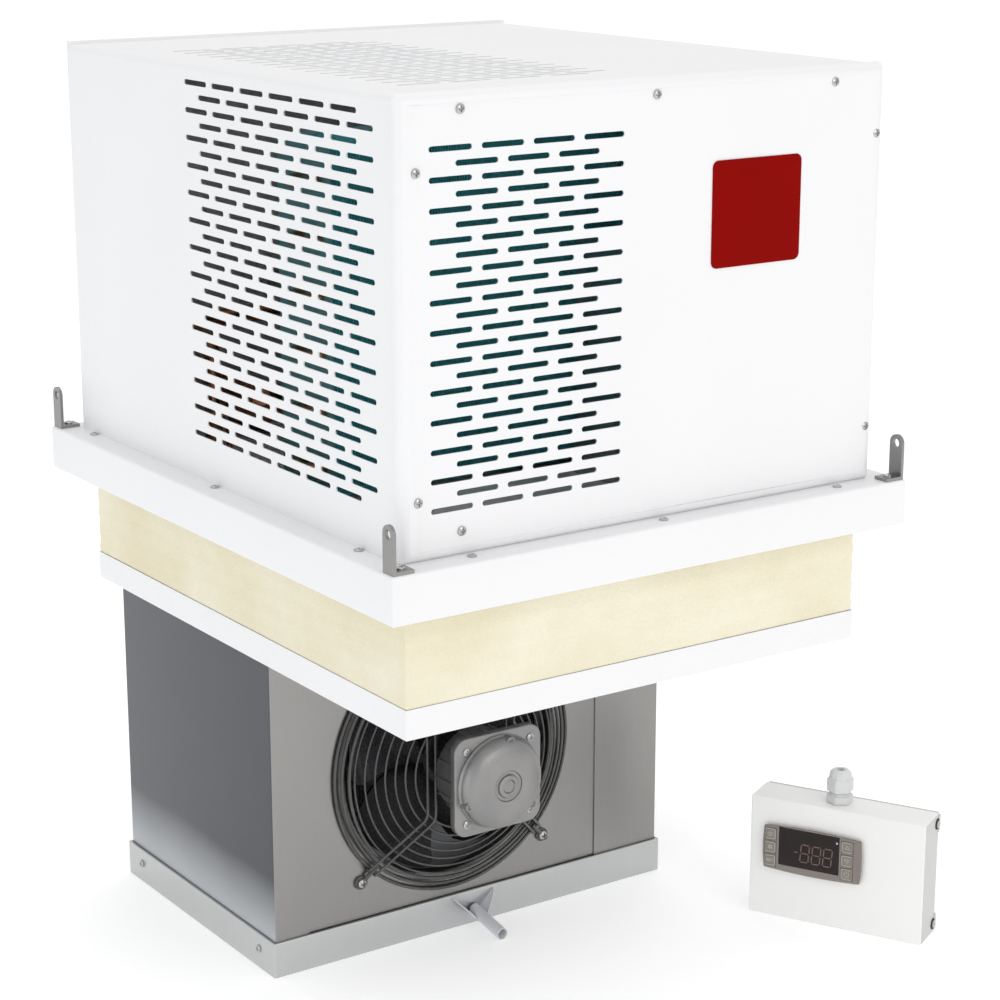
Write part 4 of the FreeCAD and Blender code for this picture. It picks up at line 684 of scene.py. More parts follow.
def slotted_sheet(width, height, left, low, columns, rows, fewer, sizes, first=0):
    """A flat sheet with a field of slots, every second row moved by half a pitch.

    left and low are the field's corner, fewer is how many slots the moved rows lack, and
    first is 1 where the lowest row is a moved one.
    """
    pitch, rise = sizes.slot_pitch, sizes.slot_rise
    right = left + (columns + (0 if fewer else 0.5)) * pitch
    high = low + rows * rise
    row, column = np.mgrid[:rows, :columns]
    moved = (row + first) % 2 == 1
    kept = ~(moved & (column >= columns - fewer))
    x = left + (column + 0.5 + 0.5 * moved) * pitch
    y = low + (row + 0.5) * rise
    places = np.stack([x[kept], y[kept], 0 * x[kept]], -1)
    tile = slot_tile(pitch, rise, sizes.slot_length, sizes.slot_height)
    bottoms = low + np.arange(rows) * rise
    odd, even = bottoms[1 - first::2], bottoms[first::2]
    parts = [repeat(tile, places), patches(left, left + pitch / 2, odd, odd + rise)]
    ends = odd if fewer else even
    parts.append(patches(right - pitch / 2, right, ends, ends + rise))
    parts.append(patches([0, right, left, left], [left, width, right, right],
                         [0, 0, 0, high], [height, height, low, height]))
    return join(parts)


def flipped(part):
    """A form whose faces point the other way."""
    points, faces = part
    return points, faces[:, ::-1]


def sharpen_rim(mesh):
    """Marks the edges that have one face as sharp, so that a sheet stays flat up to its rim."""
    sides = np.empty(len(mesh.loops), int)
    mesh.loops.foreach_get("edge_index", sides)
    open_edge = np.bincount(sides, minlength=len(mesh.edges)) == 1
    mark = (mesh.attributes.get("sharp_edge")
            or mesh.attributes.new("sharp_edge", "BOOLEAN", "EDGE"))
    sharp = np.zeros(len(mesh.edges), bool)
    mark.data.foreach_get("value", sharp)
    mark.data.foreach_set("value", sharp | open_edge)


def piece(name, part, material, body="unit", replaces=(), outward=True, sharp=35, sheet=0.0,
          inner=""):
    """Makes a form an object: merges doubles, turns faces outwards and shades its soft edges.

    A sheet is given its thickness inwards, and inner names the finish of its inner side.
    """
    points, faces = part
    mesh = bpy.data.meshes.new(name)
    mesh.from_pydata(points.tolist(), [], faces.tolist())
    shape = bmesh.new()
    shape.from_mesh(mesh)
    bmesh.ops.remove_doubles(shape, verts=shape.verts, dist=2e-6)
    bmesh.ops.dissolve_degenerate(shape, edges=shape.edges, dist=1e-7)
    if outward:
        bmesh.ops.recalc_face_normals(shape, faces=shape.faces)
    shape.to_mesh(mesh)
    shape.free()
    mesh.shade_smooth()
    mesh.set_sharp_from_angle(angle=math.radians(sharp))
    sharpen_rim(mesh)
    mesh.materials.append(finish(material))
    made = bpy.data.objects.new(name, mesh)
    bpy.context.scene.collection.objects.link(made)
    if sheet:
        wall = made.modifiers.new("Sheet", "SOLIDIFY")
        wall.thickness = sheet
        wall.offset = -1
        if inner:
            mesh.materials.append(finish(inner))
            wall.material_offset = len(mesh.materials) - 1
    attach(made, body)
    if replaces:
        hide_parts(*replaces)
    return made


def finish_facing(made, material, way):
    """Gives the faces of a piece that face one way a finish of their own."""
    made.data.materials.append(finish(material))
    facing = np.empty((len(made.data.polygons), 3))
    made.data.polygons.foreach_get("normal", facing.reshape(-1))
    made.data.polygons.foreach_set("material_index", (facing @ way > 0.8).astype(int))


def screw_head(diameter, rise):
    """A domed head with a cross recess: a polar grid whose height drops inside a plus sign."""
    share = np.array([1.0, 1.0, 0.93, 0.8, 0.62, 0.55, 0.4, 0.25, 0.12, 0.0])
    angle = np.linspace(0, TURN, 32, endpoint=False)
    radius = diameter / 2 * share[:, None]
    x, y = radius * np.cos(angle), radius * np.sin(angle)
    dome = rise * np.sqrt(np.clip(1 - 0.75 * share[:, None] ** 2, 0, 1)) + 0 * x
    dome[0] = 0
    narrow = np.minimum(abs(x), abs(y)) < diameter * 0.07
    long = np.maximum(abs(x), abs(y)) < diameter * 0.3
    return form(np.stack([x, y, dome - (narrow & long) * rise * 0.45], -1))


class UNIT_OT_housing(bpy.types.Operator):
    """Makes the folded hood and its two end sheets, with their staggered slots."""

    bl_idname = "unit.housing"
    bl_label = "Housing"

    def execute(self, context):
        sizes = context.scene.housing_sizes
        low, high = corners("hood")
        wide, tall = high[0] - low[0], high[2] - low[2]
        start = corners("front_panel")[0][1] + sizes.front_edge + sizes.hood_gap
        deep = high[1] - start
        lead = start - low[1]
        bend, rise, columns = sizes.bend, sizes.slot_rise, sizes.columns
        # Half of the gap between two slots in a row
        margin = (sizes.slot_pitch - sizes.slot_length) / 2

        # The walls' own X is the depth and their Y the height
        upright = [[0, 1, 0], [0, 0, 1], [0, 0, 0]]
        field = (sizes.side_front - margin - lead,
                 tall - sizes.side_top - (sizes.side_rows - 0.5) * rise)
        wall = slotted_sheet(deep, tall - bend, *field, sizes.side_columns, sizes.side_rows, 0,
                             sizes, 1)
        left = move(wall, upright, (low[0], start, low[2]))
        right = move(patches(0, deep, 0, tall - bend), upright, (high[0], start, low[2]))
        field = (sizes.top_left - bend - margin, sizes.top_front - lead - rise / 2)
        top = slotted_sheet(wide - 2 * bend, deep, *field, columns, sizes.top_rows, 0, sizes)
        top = move(top, UPRIGHT, (low[0] + bend, start, high[2]))
        turn = np.linspace(0, math.pi / 2, 7)
        folds = []
        for side, edge in ((-1, low[0]), (1, high[0])):
            x = edge - side * bend * (1 - np.cos(turn))
            z = high[2] - bend * (1 - np.sin(turn))
            ends = np.stack([np.stack([x, y + 0 * x, z], -1) for y in (start, high[1])])
            strip = form(ends, close_columns=False)
            folds.append(flipped(strip) if side > 0 else strip)
        piece("hood_shell", join([flipped(left), right, top] + folds), "casing_coat",
              replaces=["hood"], outward=False, sheet=sizes.sheet)

        low, high = corners("front_panel")
        edge = sizes.front_edge
        field = (sizes.front_left - margin - edge,
                 tall - sizes.front_top - (sizes.front_rows - 0.5) * rise - edge)
        plate = slotted_sheet(wide - 2 * edge, tall - 2 * edge, *field, columns,
                              sizes.front_rows, 1, sizes)
        plate = move(plate, place=(edge - wide / 2, edge - tall / 2, 0))
        roll = np.column_stack([-edge * (1 - np.sin(turn)), edge * (np.cos(turn) - 1)])
        border = skirt(roll[::-1], wide / 2, tall / 2, 3 * MM, 6)
        whole = move(join([plate, flipped(border)]), FRONT,
                     (low[0] + wide / 2, low[1], low[2] + tall / 2))
        piece("front_sheet", whole, "casing_coat", replaces=["front_panel"], outward=False,
              sheet=sizes.sheet)

        low, high = corners("rear_panel")
        field = (sizes.rear_left, tall - sizes.rear_top - (sizes.rear_rows - 1) * rise)
        plate = slotted_sheet(wide, high[2] - low[2], *field, columns, sizes.rear_rows, 1, sizes)
        plate = move(plate, FRONT * [[1], [1], [0]], (low[0], high[1], low[2]))
        piece("rear_sheet", flipped(plate), "casing_coat", replaces=["rear_panel"],
              outward=False, sheet=sizes.sheet)
        return {"FINISHED"}


class UNIT_OT_base(bpy.types.Operator):
    """Makes the flanged frame, the foam plug and the white pan under it."""

    bl_idname = "unit.base"
    bl_label = "Frame and plug"

    def execute(self, context):
        sizes = context.scene.box_sizes
        half, middle, tall = spans("base_frame")
        profile = rounded([(-sizes.frame_lip, 0), (0, 0), (0, tall), (-half[0], tall)], 2.5 * MM)
        shell = skirt(profile, half[0], half[1], sizes.corner)
        piece("flange_frame", move(shell, place=middle - [0, 0, half[2]]), "casing_coat",
              replaces=["base_frame"], outward=False, sheet=sizes.frame_sheet)

        # The foam's sides are uneven by a wave whose lengths don't repeat one another, so they
        # keep a little inside the plug's box
        play, depth = 1 * MM, 0.35 * MM
        half, middle, _ = spans("insulation_plug")
        floor = corners("plug_plate")[1][2] + 0.3 * MM
        rows = np.linspace(floor, middle[2] + half[2], 26)[:, None]
        x, y = outline_of(half[0] - play, half[1] - play, 0, sizes.corner, 60)
        wave = depth * (np.sin(31 * x + 7) * np.sin(47 * y) + np.sin(900 * rows + 13 * x))
        loops = np.stack([x * (1 + wave / half[0]), y * (1 + wave / half[1]), rows + 0 * x], -1)
        ends = loops[[0, -1]] * [0, 0, 1]
        foam = form(np.concatenate([ends[:1], loops, ends[1:]]))
        piece("plug_foam_block", move(foam, place=middle * [1, 1, 0]), "plug_foam",
              replaces=["insulation_plug"])

        half, middle, tall = spans("plug_plate")
        profile = rounded([(-half[0], 0), (0, 0), (0, tall)], 2 * MM)
        pan = skirt(profile, half[0], half[1], sizes.corner)
        piece("plug_pan", move(pan, place=middle - [0, 0, half[2]]), "casing_coat",
              replaces=["plug_plate"], sheet=sizes.pan_sheet)
        dress("lug_steel", "lifting_lug_front_left", "lifting_lug_front_right",
              "lifting_lug_rear_left", "lifting_lug_rear_right")
        dress("rubber", "pipe_duct")
        return {"FINISHED"}


class UNIT_OT_screws(bpy.types.Operator):
    """Makes the domed screws of the panels, the frame, the tray and the motor."""

    bl_idname = "unit.screws"
    bl_label = "Screws"

    def execute(self, context):
        sizes = context.scene.housing_sizes
        head = screw_head(sizes.screw_head, sizes.screw_rise)
        for node in ("panel_screws", "flange_screws", "tray_screws", "motor_screws"):
            heads = [move(head, axes, place) for place, axes in screw_places(node)]
            piece(node.replace("_screws", "_screw_heads"), join(heads), "screw_zinc",
                  replaces=[node])
        return {"FINISHED"}


def screw_places(node):
    """Centre of each screw's seat in a CAD node, and the axes of the face that it is on.

    A screw's points are those that edges join: each point takes the lowest number among its
    neighbours until none changes.
    """
    mesh = frame["nodes"][node].data
    spots = np.empty((len(mesh.vertices), 3))
    mesh.vertices.foreach_get("co", spots.reshape(-1))
    spots, same = np.unique(np.round(spots, 6), axis=0, return_inverse=True)
    ends = np.empty((len(mesh.edges), 2), int)
    mesh.edges.foreach_get("vertices", ends.reshape(-1))
    ends = same.reshape(-1)[ends]
    number, before = np.arange(len(spots)), None
    while before is None or np.any(number != before):
        before = number.copy()
        lowest = number[ends].min(1)
        for end in ends.T:
            np.minimum.at(number, end, lowest)
    sides = {(0, False): LEFT, (0, True): RIGHT, (1, False): FRONT, (1, True): REAR}
    found = []
    for first in np.unique(number):
        screw = spots[number == first]
        low, high = screw.min(0), screw.max(0)
        thin = int(np.argmin(high - low))
        middle = (low + high) / 2
        outward = bool(middle[thin] > INSIDE[thin])
        middle[thin] = low[thin] if outward or thin == 2 else high[thin]
        found.append((middle, sides.get((thin, outward), UPRIGHT)))
    return found


class UNIT_OT_fan_panel(bpy.types.Operator):
    """Makes the fan's sheet: a rectangle drawn in to a rolled round inlet."""

    bl_idname = "unit.fan_panel"
    bl_label = "Fan panel"

    def execute(self, context):
        sizes = context.scene.box_sizes
        low, high = corners("fan_panel")
        centre = fan_centre()
        far = [math.atan2(z - centre[2], x - centre[0]) % TURN
               for x in (low[0], high[0]) for z in (low[2], high[2])]
        angle = np.sort(np.concatenate([np.linspace(0, TURN, 96, endpoint=False), far]))
        steps = len(angle)
        c, s = np.cos(angle), np.sin(angle)
        reach_x = np.where(c > 0, high[0] - centre[0], centre[0] - low[0])
        reach_z = np.where(s > 0, high[2] - centre[2], centre[2] - low[2])
        square = np.minimum(reach_x / np.maximum(abs(c), 1e-9), reach_z / np.maximum(abs(s), 1e-9))
        inlet, bend = sizes.inlet, sizes.inlet_roll
        depth = high[1] - low[1]
        # Rings of the flat part, as shares of the way from the inlet's roll to the sheet's rim
        share = np.array([1.0, 0.5, 0.2, 0.07, 0.03])[:, None]
        flat = (inlet + bend) + share * (square - inlet - bend)
        roll = np.linspace(0, math.pi / 2, 7)[:, None]
        lip = inlet + bend * (1 - np.sin(roll)) + 0 * angle
        radius = np.concatenate([flat, lip, np.full((1, steps), inlet)])
        back = np.concatenate([0 * flat, bend * (1 - np.cos(roll)) + 0 * angle,
                               np.full((1, steps), depth)])
        sheet = np.stack([centre[0] + radius * c, low[1] + back, centre[2] + radius * s], -1)
        # The sheet's inner side gets the dark copy of the sheet: painted shade
        piece("fan_sheet", form(sheet), "box_sheet", replaces=["fan_panel"],
              outward=False, sheet=sizes.box_sheet, inner="inner_sheet_painted_shade")
        return {"FINISHED"}


class UNIT_OT_box(bpy.types.Operator):
    """Makes the evaporator box's folded side sheets and the drip tray."""

    bl_idname = "unit.box"
    bl_label = "Evaporator box"

    def execute(self, context):
        sizes = context.scene.box_sizes
        for side, hand, fold in (("left", -1, sizes.left_fold), ("right", 1, sizes.right_fold)):
            node = "evaporator_side_" + side
            low, high = corners(node)
            wall = low[0] if hand < 0 else high[0]
            path = [(wall - hand * sizes.rear_fold, high[1]), (wall, high[1]),
                    (wall, low[1]), (wall - hand * fold, low[1])]
            part = upright_strip(rounded(path, sizes.box_bend), low[2], high[2])
            made = piece(node + "_sheet", part if hand < 0 else flipped(part), "side_sheet_painted_shade",
                         replaces=[node], outward=False, sheet=sizes.box_sheet)
            # Painted shade: only the folds that face the front get the box's lighter sheet, and the
            # sides keep the dark copy
            finish_facing(made, "box_sheet", FRONT[2])

        half, middle, tall = spans("drip_tray")
        profile = rounded([(-half[1], 0), (0, 0), (0, tall), (-sizes.tray_hem, tall)],
                          sizes.tray_sheet)
        basin = skirt(profile, half[0], half[1], sizes.corner)
        # The tray's inner side gets the dark copy of the sheet: painted shade
        piece("tray_basin", move(basin, place=middle - [0, 0, half[2]]), "tray_sheet",
              replaces=["drip_tray"], outward=False, sheet=sizes.tray_sheet,
              inner="inner_sheet_painted_shade")
        return {"FINISHED"}


def upright_strip(path, low, high):
    """A path in X and Y carried straight up."""
    path = np.asarray(path)
    ends = [np.column_stack([path, np.full(len(path), z)]) for z in (low, high)]
    return form(np.stack(ends), close_columns=False)


def fan_centre():
    """The evaporator fan's centre."""
    joint = next(j for j in frame["joints"] if j["child"] == "evaporator_fan")
    return np.array(joint["pos_m"])


class UNIT_OT_guard(bpy.types.Operator):
    """Makes the wire guard: thick rings at its edge, thin ones on a cone, and paired legs."""

    bl_idname = "unit.guard"
    bl_label = "Fan guard"

    def execute(self, context):
        sizes = context.scene.fan_sizes
        low, high = corners("fan_guard")
        centre = fan_centre()
        wire, thin, near = sizes.wire, sizes.thin_wire, sizes.leg_near
        top = high[1] - low[1] - wire / 2
        slope = (top - wire) / (sizes.guard_radius - near * math.sqrt(2))
        angle = np.linspace(0, TURN, 120, endpoint=False)
        ring = np.stack([np.cos(angle), np.sin(angle), 0 * angle], -1)
        parts = []
        for index in range(sizes.edge_rings):
            reach = sizes.guard_radius - sizes.edge_pitch * index
            parts.append(tube(ring * reach + [0, 0, wire * (0.7 + 0.75 * index)],
                              wire / 2, 10, True))
        for index in range(2, sizes.rings + 1):
            reach = sizes.guard_radius - index * sizes.ring_pitch
            rise = top - (reach - near * math.sqrt(2)) * slope - thin
            parts.append(tube(ring * reach + [0, 0, rise], thin / 2, 8, True))
        parts += guard_legs(sizes, top) + guard_feet(sizes)
        wires = move(join(parts), FRONT, (centre[0], high[1], centre[2]))
        piece("guard_wires", wires, "guard_enamel", replaces=["fan_guard"], sharp=60)
        foot, seat = sizes.leg_offset, high[1] - 2.5 * MM
        heads = [move(screw_head(9 * MM, 4.4 * MM), FRONT,
                      (centre[0] + i * foot, seat, centre[2] + j * foot))
                 for i in (-1, 1) for j in (-1, 1)]
        piece("guard_screw_heads", join(heads), "screw_zinc")
        return {"FINISHED"}


def guard_legs(sizes, top):
    """The paired wires from the lower feet past the motor's side to the upper feet."""
    wire, near, edge = sizes.wire, sizes.leg_near, sizes.leg_edge
    hook = 1 * MM
    legs = []
    for side in (-1, 1):
        for out in (-1, 1):
            gap = out * sizes.leg_gap / 2
            slant, mitre = gap * math.sqrt(0.5), gap * (math.sqrt(2) - 1)
            end = (edge + slant - hook, edge - slant - hook, wire * 0.8)
            rim = (edge + slant, edge - slant, wire * 1.9)
            bend = (near + gap, near - mitre, top)
            path = np.array([end, rim, bend] + [(x, -y, z) for x, y, z in (bend, rim, end)])
            legs.append(tube(rounded(path * [side, 1, 1], 7 * MM), wire * 0.4, 10))
    return legs


def guard_feet(sizes):
    """The four feet: a short clip over the edge rings, and the eye that its screw holds."""
    wire, edge, foot = sizes.wire, sizes.leg_edge, sizes.leg_offset
    inner, outer = edge - 7 * MM, foot + 5 * MM
    clip = np.array([(inner, inner, wire * 2.1), (edge, edge, wire * 1.4),
                     (foot, foot, wire * 0.5), (outer, outer, wire * 0.5)])
    eye = lathe(rounded([(7 * MM, 0), (7 * MM, 2.4 * MM), (5 * MM, 2.6 * MM)], 0.6 * MM), 28)
    feet = []
    for side in (-1, 1):
        for up in (-1, 1):
            feet.append(tube(rounded(clip * [side, up, 1], 4 * MM), wire * 0.62, 8))
            feet.append(move(eye, place=(foot * side, foot * up, 0)))
    return feet


class UNIT_OT_motor(bpy.types.Operator):
    """Makes the fan motor: a ribbed body, a square cast flange, a dome with a ring and posts."""

    bl_idname = "unit.motor"
    bl_label = "Fan motor"

    def execute(self, context):
        low, high = corners("fan_motor")
        centre = fan_centre()
        half = (high[0] - low[0]) / 2
        body, flange = 36 * MM, 9 * MM
        parts = [lathe(rounded([(40 * MM, 0), (42 * MM, 0), (42 * MM, body)], 2 * MM))]
        rib = block(1.5 * MM, 44.5 * MM, 3 * MM, body, 0.5 * MM, 0.5 * MM)
        parts += [move(rib, turn_z(TURN * i / 16)) for i in range(8)]
        parts.append(move(block(half, half, 0, flange, half * 0.28, 1.5 * MM, 8),
                          place=(0, 0, body)))
        rise = body + flange
        # The dome swells from its flat middle's edge by a fuller curve than a circle's
        flat, swell, crown, fullness = 16 * MM, 29 * MM, 17.5 * MM, 0.72
        turn = np.linspace(0.1, math.pi / 2, 16)
        dome = np.column_stack([flat + swell * np.cos(turn) ** fullness,
                                rise + crown * np.sin(turn) ** fullness])
        profile = [(46.5 * MM, rise - 1 * MM), (46.5 * MM, rise + 1.5 * MM), *dome,
                   (15.5 * MM, rise + crown), (15 * MM, rise + 15.8 * MM),
                   (11.5 * MM, rise + 15.8 * MM), (11 * MM, rise + 18.5 * MM),
                   (7 * MM, rise + 19.3 * MM), (6 * MM, rise + 17 * MM),
                   (0.1 * MM, rise + 17 * MM)]
        parts.append(lathe(rounded(profile, 0.8 * MM, 3), 72))
        boss = lathe(rounded([(7 * MM, rise - 1 * MM), (6.2 * MM, rise + 3 * MM),
                              (0.1 * MM, rise + 3 * MM)], 0.8 * MM), 24)
        step, sunk = half * 0.74, 2.9 * MM
        parts += [move(boss, place=(i * step, j * step, -sunk)) for i in (-1, 1)
                  for j in (-1, 1)]
        post = lathe(rounded([(4.5 * MM, rise), (4.5 * MM, rise + 11 * MM),
                              (3 * MM, rise + 11 * MM), (2.6 * MM, rise + 9.6 * MM),
                              (0.1 * MM, rise + 9.6 * MM)], 0.6 * MM), 20)
        posts = 42 * MM
        for angle in np.radians([80, 200, 320]):
            place = (posts * math.cos(angle), posts * math.sin(angle), 0)
            parts.append(move(post, place=place))
        casting = move(join(parts), FRONT, (centre[0], high[1], centre[2]))
        piece("motor_casting_body", casting, "motor_casting", replaces=["fan_motor"])
        return {"FINISHED"}


def fan_wheel(diameter, hub, sizes, shaft_front, shaft_rear):
    """A fan wheel: a domed hub with a shaft and swept blades.

    A blade is a grid of radius and chord: the chord widens outwards, is rounded at the tip, is
    pitched less towards the tip and is carried round the axis as it goes out.
    """
    u = np.linspace(0, 1, 18)[:, None]
    v = np.linspace(-1, 1, 13)[None, :]
    sunk = 4 * MM
    radius = hub / 2 - sunk + (diameter / 2 - hub / 2 + sunk) * u
    tip = np.clip((u - 0.86) / 0.14, 0, 1)
    chord = (46 * MM + 50 * MM * u) * np.sqrt(1 - 0.55 * tip**2)
    pitch = np.radians(38 - 16 * u)
    along = v * chord / 2 * np.cos(pitch)
    rise = v * chord / 2 * np.sin(pitch) + 4 * MM * (1 - v**2) * u
    angle = along / radius + 0.35 * u**1.5
    sheet = np.stack([radius * np.cos(angle), radius * np.sin(angle), rise + 0 * radius], -1)
    blade = leaf(sheet, np.array([0, 0, sizes.blade_sheet]))
    half, drop = 13 * MM, 10 * MM
    cup = lathe(rounded([(hub / 2 - 2 * MM, -half), (hub / 2, -half), (hub / 2, drop),
                         (hub / 2 - 6 * MM, half), (hub / 5, half), (hub / 5 - 1 * MM, drop),
                         (6 * MM, drop)], 2 * MM), 64)
    spindle = lathe([(4.9 * MM, -shaft_rear), (4.9 * MM, shaft_front)], 24)
    return join([around(blade, sizes.blades), cup]), spindle


# Each fan wheel's diameter and its hub's
WHEELS = {"evaporator_fan": (230 * MM, 62 * MM), "condenser_fan": (254 * MM, 70 * MM)}


class UNIT_OT_fans(bpy.types.Operator):
    """Makes both fan wheels with their shafts."""

    bl_idname = "unit.fans"
    bl_label = "Fan wheels"

    def execute(self, context):
        sizes = context.scene.fan_sizes
        for joint in frame["joints"]:
            node = joint["child"]
            if node not in WHEELS:
                continue
            centre = np.array(joint["pos_m"])
            low, high = corners(node)
            diameter, hub = WHEELS[node]
            front, rear = centre[1] - low[1], high[1] - centre[1]
            blades, spindle = fan_wheel(diameter, hub, sizes, front, rear)
            piece(node + "_blades", move(blades, FRONT, centre), "fan_plastic", node,
                  replaces=[node])
            piece(node + "_shaft", move(spindle, FRONT, centre), "screw_zinc", node)
        return {"FINISHED"}


def fin_pack(node, pitch):
    """Thin upright fins whose faces ripple across the air's way."""
    low, high = corners(node)
    fins = int((high[0] - low[0]) / pitch)
    y = np.linspace(low[1], high[1], 25)
    z = np.array([low[2], high[2]])
    depth, length, thick = 0.35 * MM, 12 * MM, 0.25 * MM
    ripple = depth * np.sin((y - low[1]) * TURN / length)
    sheet = np.stack(np.broadcast_arrays(ripple[None], y[None], z[:, None]), -1)
    fin = leaf(sheet, np.array([thick, 0, 0]))
    edge = 0.6 * MM
    x = np.linspace(low[0] + edge, high[0] - edge, fins)
    return repeat(fin, np.stack([x, 0 * x, 0 * x], -1))


def coil_tubes(fins, pitch, levels, hand):
    """The tubes through a coil's fins and their return bends, alternately level and upright."""
    low, high = corners(fins)
    radius = 4.76 * MM
    plate, stub = 1.5 * MM, 3 * MM
    # A return bend stands out by this share of its half width
    squash = 0.86
    rows = [low[1] + (high[1] - low[1]) * share for share in (0.25, 0.75)]
    heights = low[2] + pitch * (np.arange(levels) + 0.5)
    parts = []
    for y in rows:
        for z in heights:
            ends = [(low[0] - plate, y, z), (high[0] + plate, y, z)]
            parts.append(tube(ends, radius, 12))
    turn = np.linspace(0, math.pi, 17)
    edge = (high[0] + plate) if hand > 0 else (low[0] - plate)
    other = (low[0] - plate) if hand > 0 else (high[0] + plate)
    gap = (rows[1] - rows[0]) / 2
    for z in heights:
        x = edge + hand * (stub + gap * np.sin(turn) * squash)
        y = rows[0] + gap - gap * np.cos(turn)
        path = np.stack([x, y, z + 0 * x], -1)
        path = np.concatenate([[(edge, y[0], z)], path, [(edge, y[-1], z)]])
        parts.append(tube(path, radius, 12))
    for level in range(1, levels):
        y = rows[level % 2]
        z = heights[level - 1] + pitch / 2 - pitch / 2 * np.cos(turn)
        x = other - hand * (stub + pitch / 2 * np.sin(turn) * squash)
        path = np.stack([x, y + 0 * x, z], -1)
        path = np.concatenate([[(other, y, z[0])], path, [(other, y, z[-1])]])
        parts.append(tube(path, radius, 12))
    return join(parts)


class UNIT_OT_coils(bpy.types.Operator):
    """Makes the fins and tubes of the evaporator and the condenser."""

    bl_idname = "unit.coils"
    bl_label = "Coils"

    def execute(self, context):
        sizes = context.scene.fan_sizes
        piece("evaporator_fin_pack", fin_pack("evaporator_fins", sizes.fin_pitch), "fin_sheet",
              replaces=["evaporator_fins"])
        # The condenser's fins get the lightened copy of the coil coat: painted light
        piece("condenser_fin_pack", fin_pack("condenser_fins", sizes.condenser_pitch), "fin_coat_painted_light",
              replaces=["condenser_fins"])
        for coil, levels, hand in (("evaporator", 5, 1), ("condenser", 6, -1)):
            tubes = coil_tubes(coil + "_fins", sizes.tube_pitch, levels, hand)
            piece(coil + "_bends", tubes, "tube_copper", replaces=[coil + "_tubes"], sharp=60)
        dress("coil_coat", "condenser_end_plates", "condenser_shroud")
        dress("zinc_sheet", "evaporator_end_plates", "motor_bracket", "electrical_box",
              "electrical_cover")
        return {"FINISHED"}


class UNIT_OT_compressor(bpy.types.Operator):
    """Makes the compressor's welded shell, and gives its feet, grommets, terminal cover and the
    condenser fan's motor their finishes.
    """

    bl_idname = "unit.compressor"
    bl_label = "Compressor"

    def execute(self, context):
        low, high = corners("compressor_shell")
        middle = (low + high) / 2
        tall = high[2] - low[2]
        reach = 84 * MM
        seam = tall * 0.62
        profile = rounded([(48 * MM, 0), (reach - 8 * MM, 6 * MM), (reach, 34 * MM), (reach, seam),
                           (reach + 3 * MM, seam), (reach + 3 * MM, seam + 5 * MM),
                           (reach - 1 * MM, seam + 5 * MM), (reach - 3 * MM, tall - 30 * MM),
                           (58 * MM, tall - 4 * MM), (30 * MM, tall), (0.1 * MM, tall)], 14 * MM, 6)
        piece("compressor_dome", move(lathe(profile, 96), place=(middle[0], middle[1], low[2])),
              "shell_enamel", replaces=["compressor_shell"])
        dress("shell_enamel", "compressor_base", "condenser_motor")
        dress("rubber", "compressor_grommets", "terminal_cover")
        return {"FINISHED"}


# Each line's diameter, bend and corners, in millimetres
ROUTES = {
    "suction_pipe": (15.9, 22, ((-193.5, 97, 278), (-206, 97, 278), (-206, 97, 302),
                                (-206, -20, 302), (-206, -20, 590), (-206, 75, 590),
                                (12, 75, 590))),
    "capillary_tube": (6, 10, ((-120, 124, 508), (-120, 136.5, 508), (-190, 136.5, 508),
                               (-190, -20, 508), (-190, -20, 78), (-209, -20, 78),
                               (-209, 47, 78), (-193.5, 47, 78))),
    "liquid_pipe": (9.5, 20, ((201.5, -216.5, 508), (240, -216.5, 508), (240, -75, 508),
                              (-120, -75, 508), (-120, 20, 508))),
    "discharge_pipe": (9.5, 20, ((75, 54, 691.5), (75, 54, 758), (240, 54, 758),
                                 (240, -216.5, 758), (201.5, -216.5, 758))),
}


class UNIT_OT_pipes(bpy.types.Operator):
    """Makes the refrigerant lines, the drier's spun can and the defrost heater."""

    bl_idname = "unit.pipes"
    bl_label = "Pipes"

    def execute(self, context):
        for node, (diameter, bend, route) in ROUTES.items():
            path = rounded(np.array(route) * MM, bend * MM, 8)
            piece(node.replace("_", "_smooth_"), tube(path, diameter / 2 * MM, 16), "tube_copper",
                  replaces=[node], sharp=60)
        low, high = corners("filter_drier")
        long = high[1] - low[1]
        can = rounded([(4 * MM, 0), (6 * MM, 3 * MM), (21 * MM, 14 * MM), (21 * MM, long - 14 * MM),
                       (6 * MM, long - 3 * MM), (4 * MM, long)], 5 * MM)
        can = move(lathe(can, 40), REAR, ((low[0] + high[0]) / 2, low[1], high[2] - 21 * MM))
        saddle = block(14 * MM, 14 * MM, 0, 32 * MM, 1 * MM, 1 * MM)
        saddle = move(saddle, place=((low[0] + high[0]) / 2, (low[1] + high[1]) / 2, low[2]))
        piece("drier_can", join([can, saddle]), "tube_copper", replaces=["filter_drier"])
        route = [(-192, 47, 49), (186, 47, 49), (192, 53, 49), (192, 91, 49), (186, 97, 49),
                 (-192, 97, 49)]
        rod = tube(rounded(np.array(route) * MM, 12 * MM, 8), 4 * MM, 16)
        piece("heater_rod", rod, "screw_zinc", replaces=["defrost_heater"], sharp=60)
        return {"FINISHED"}


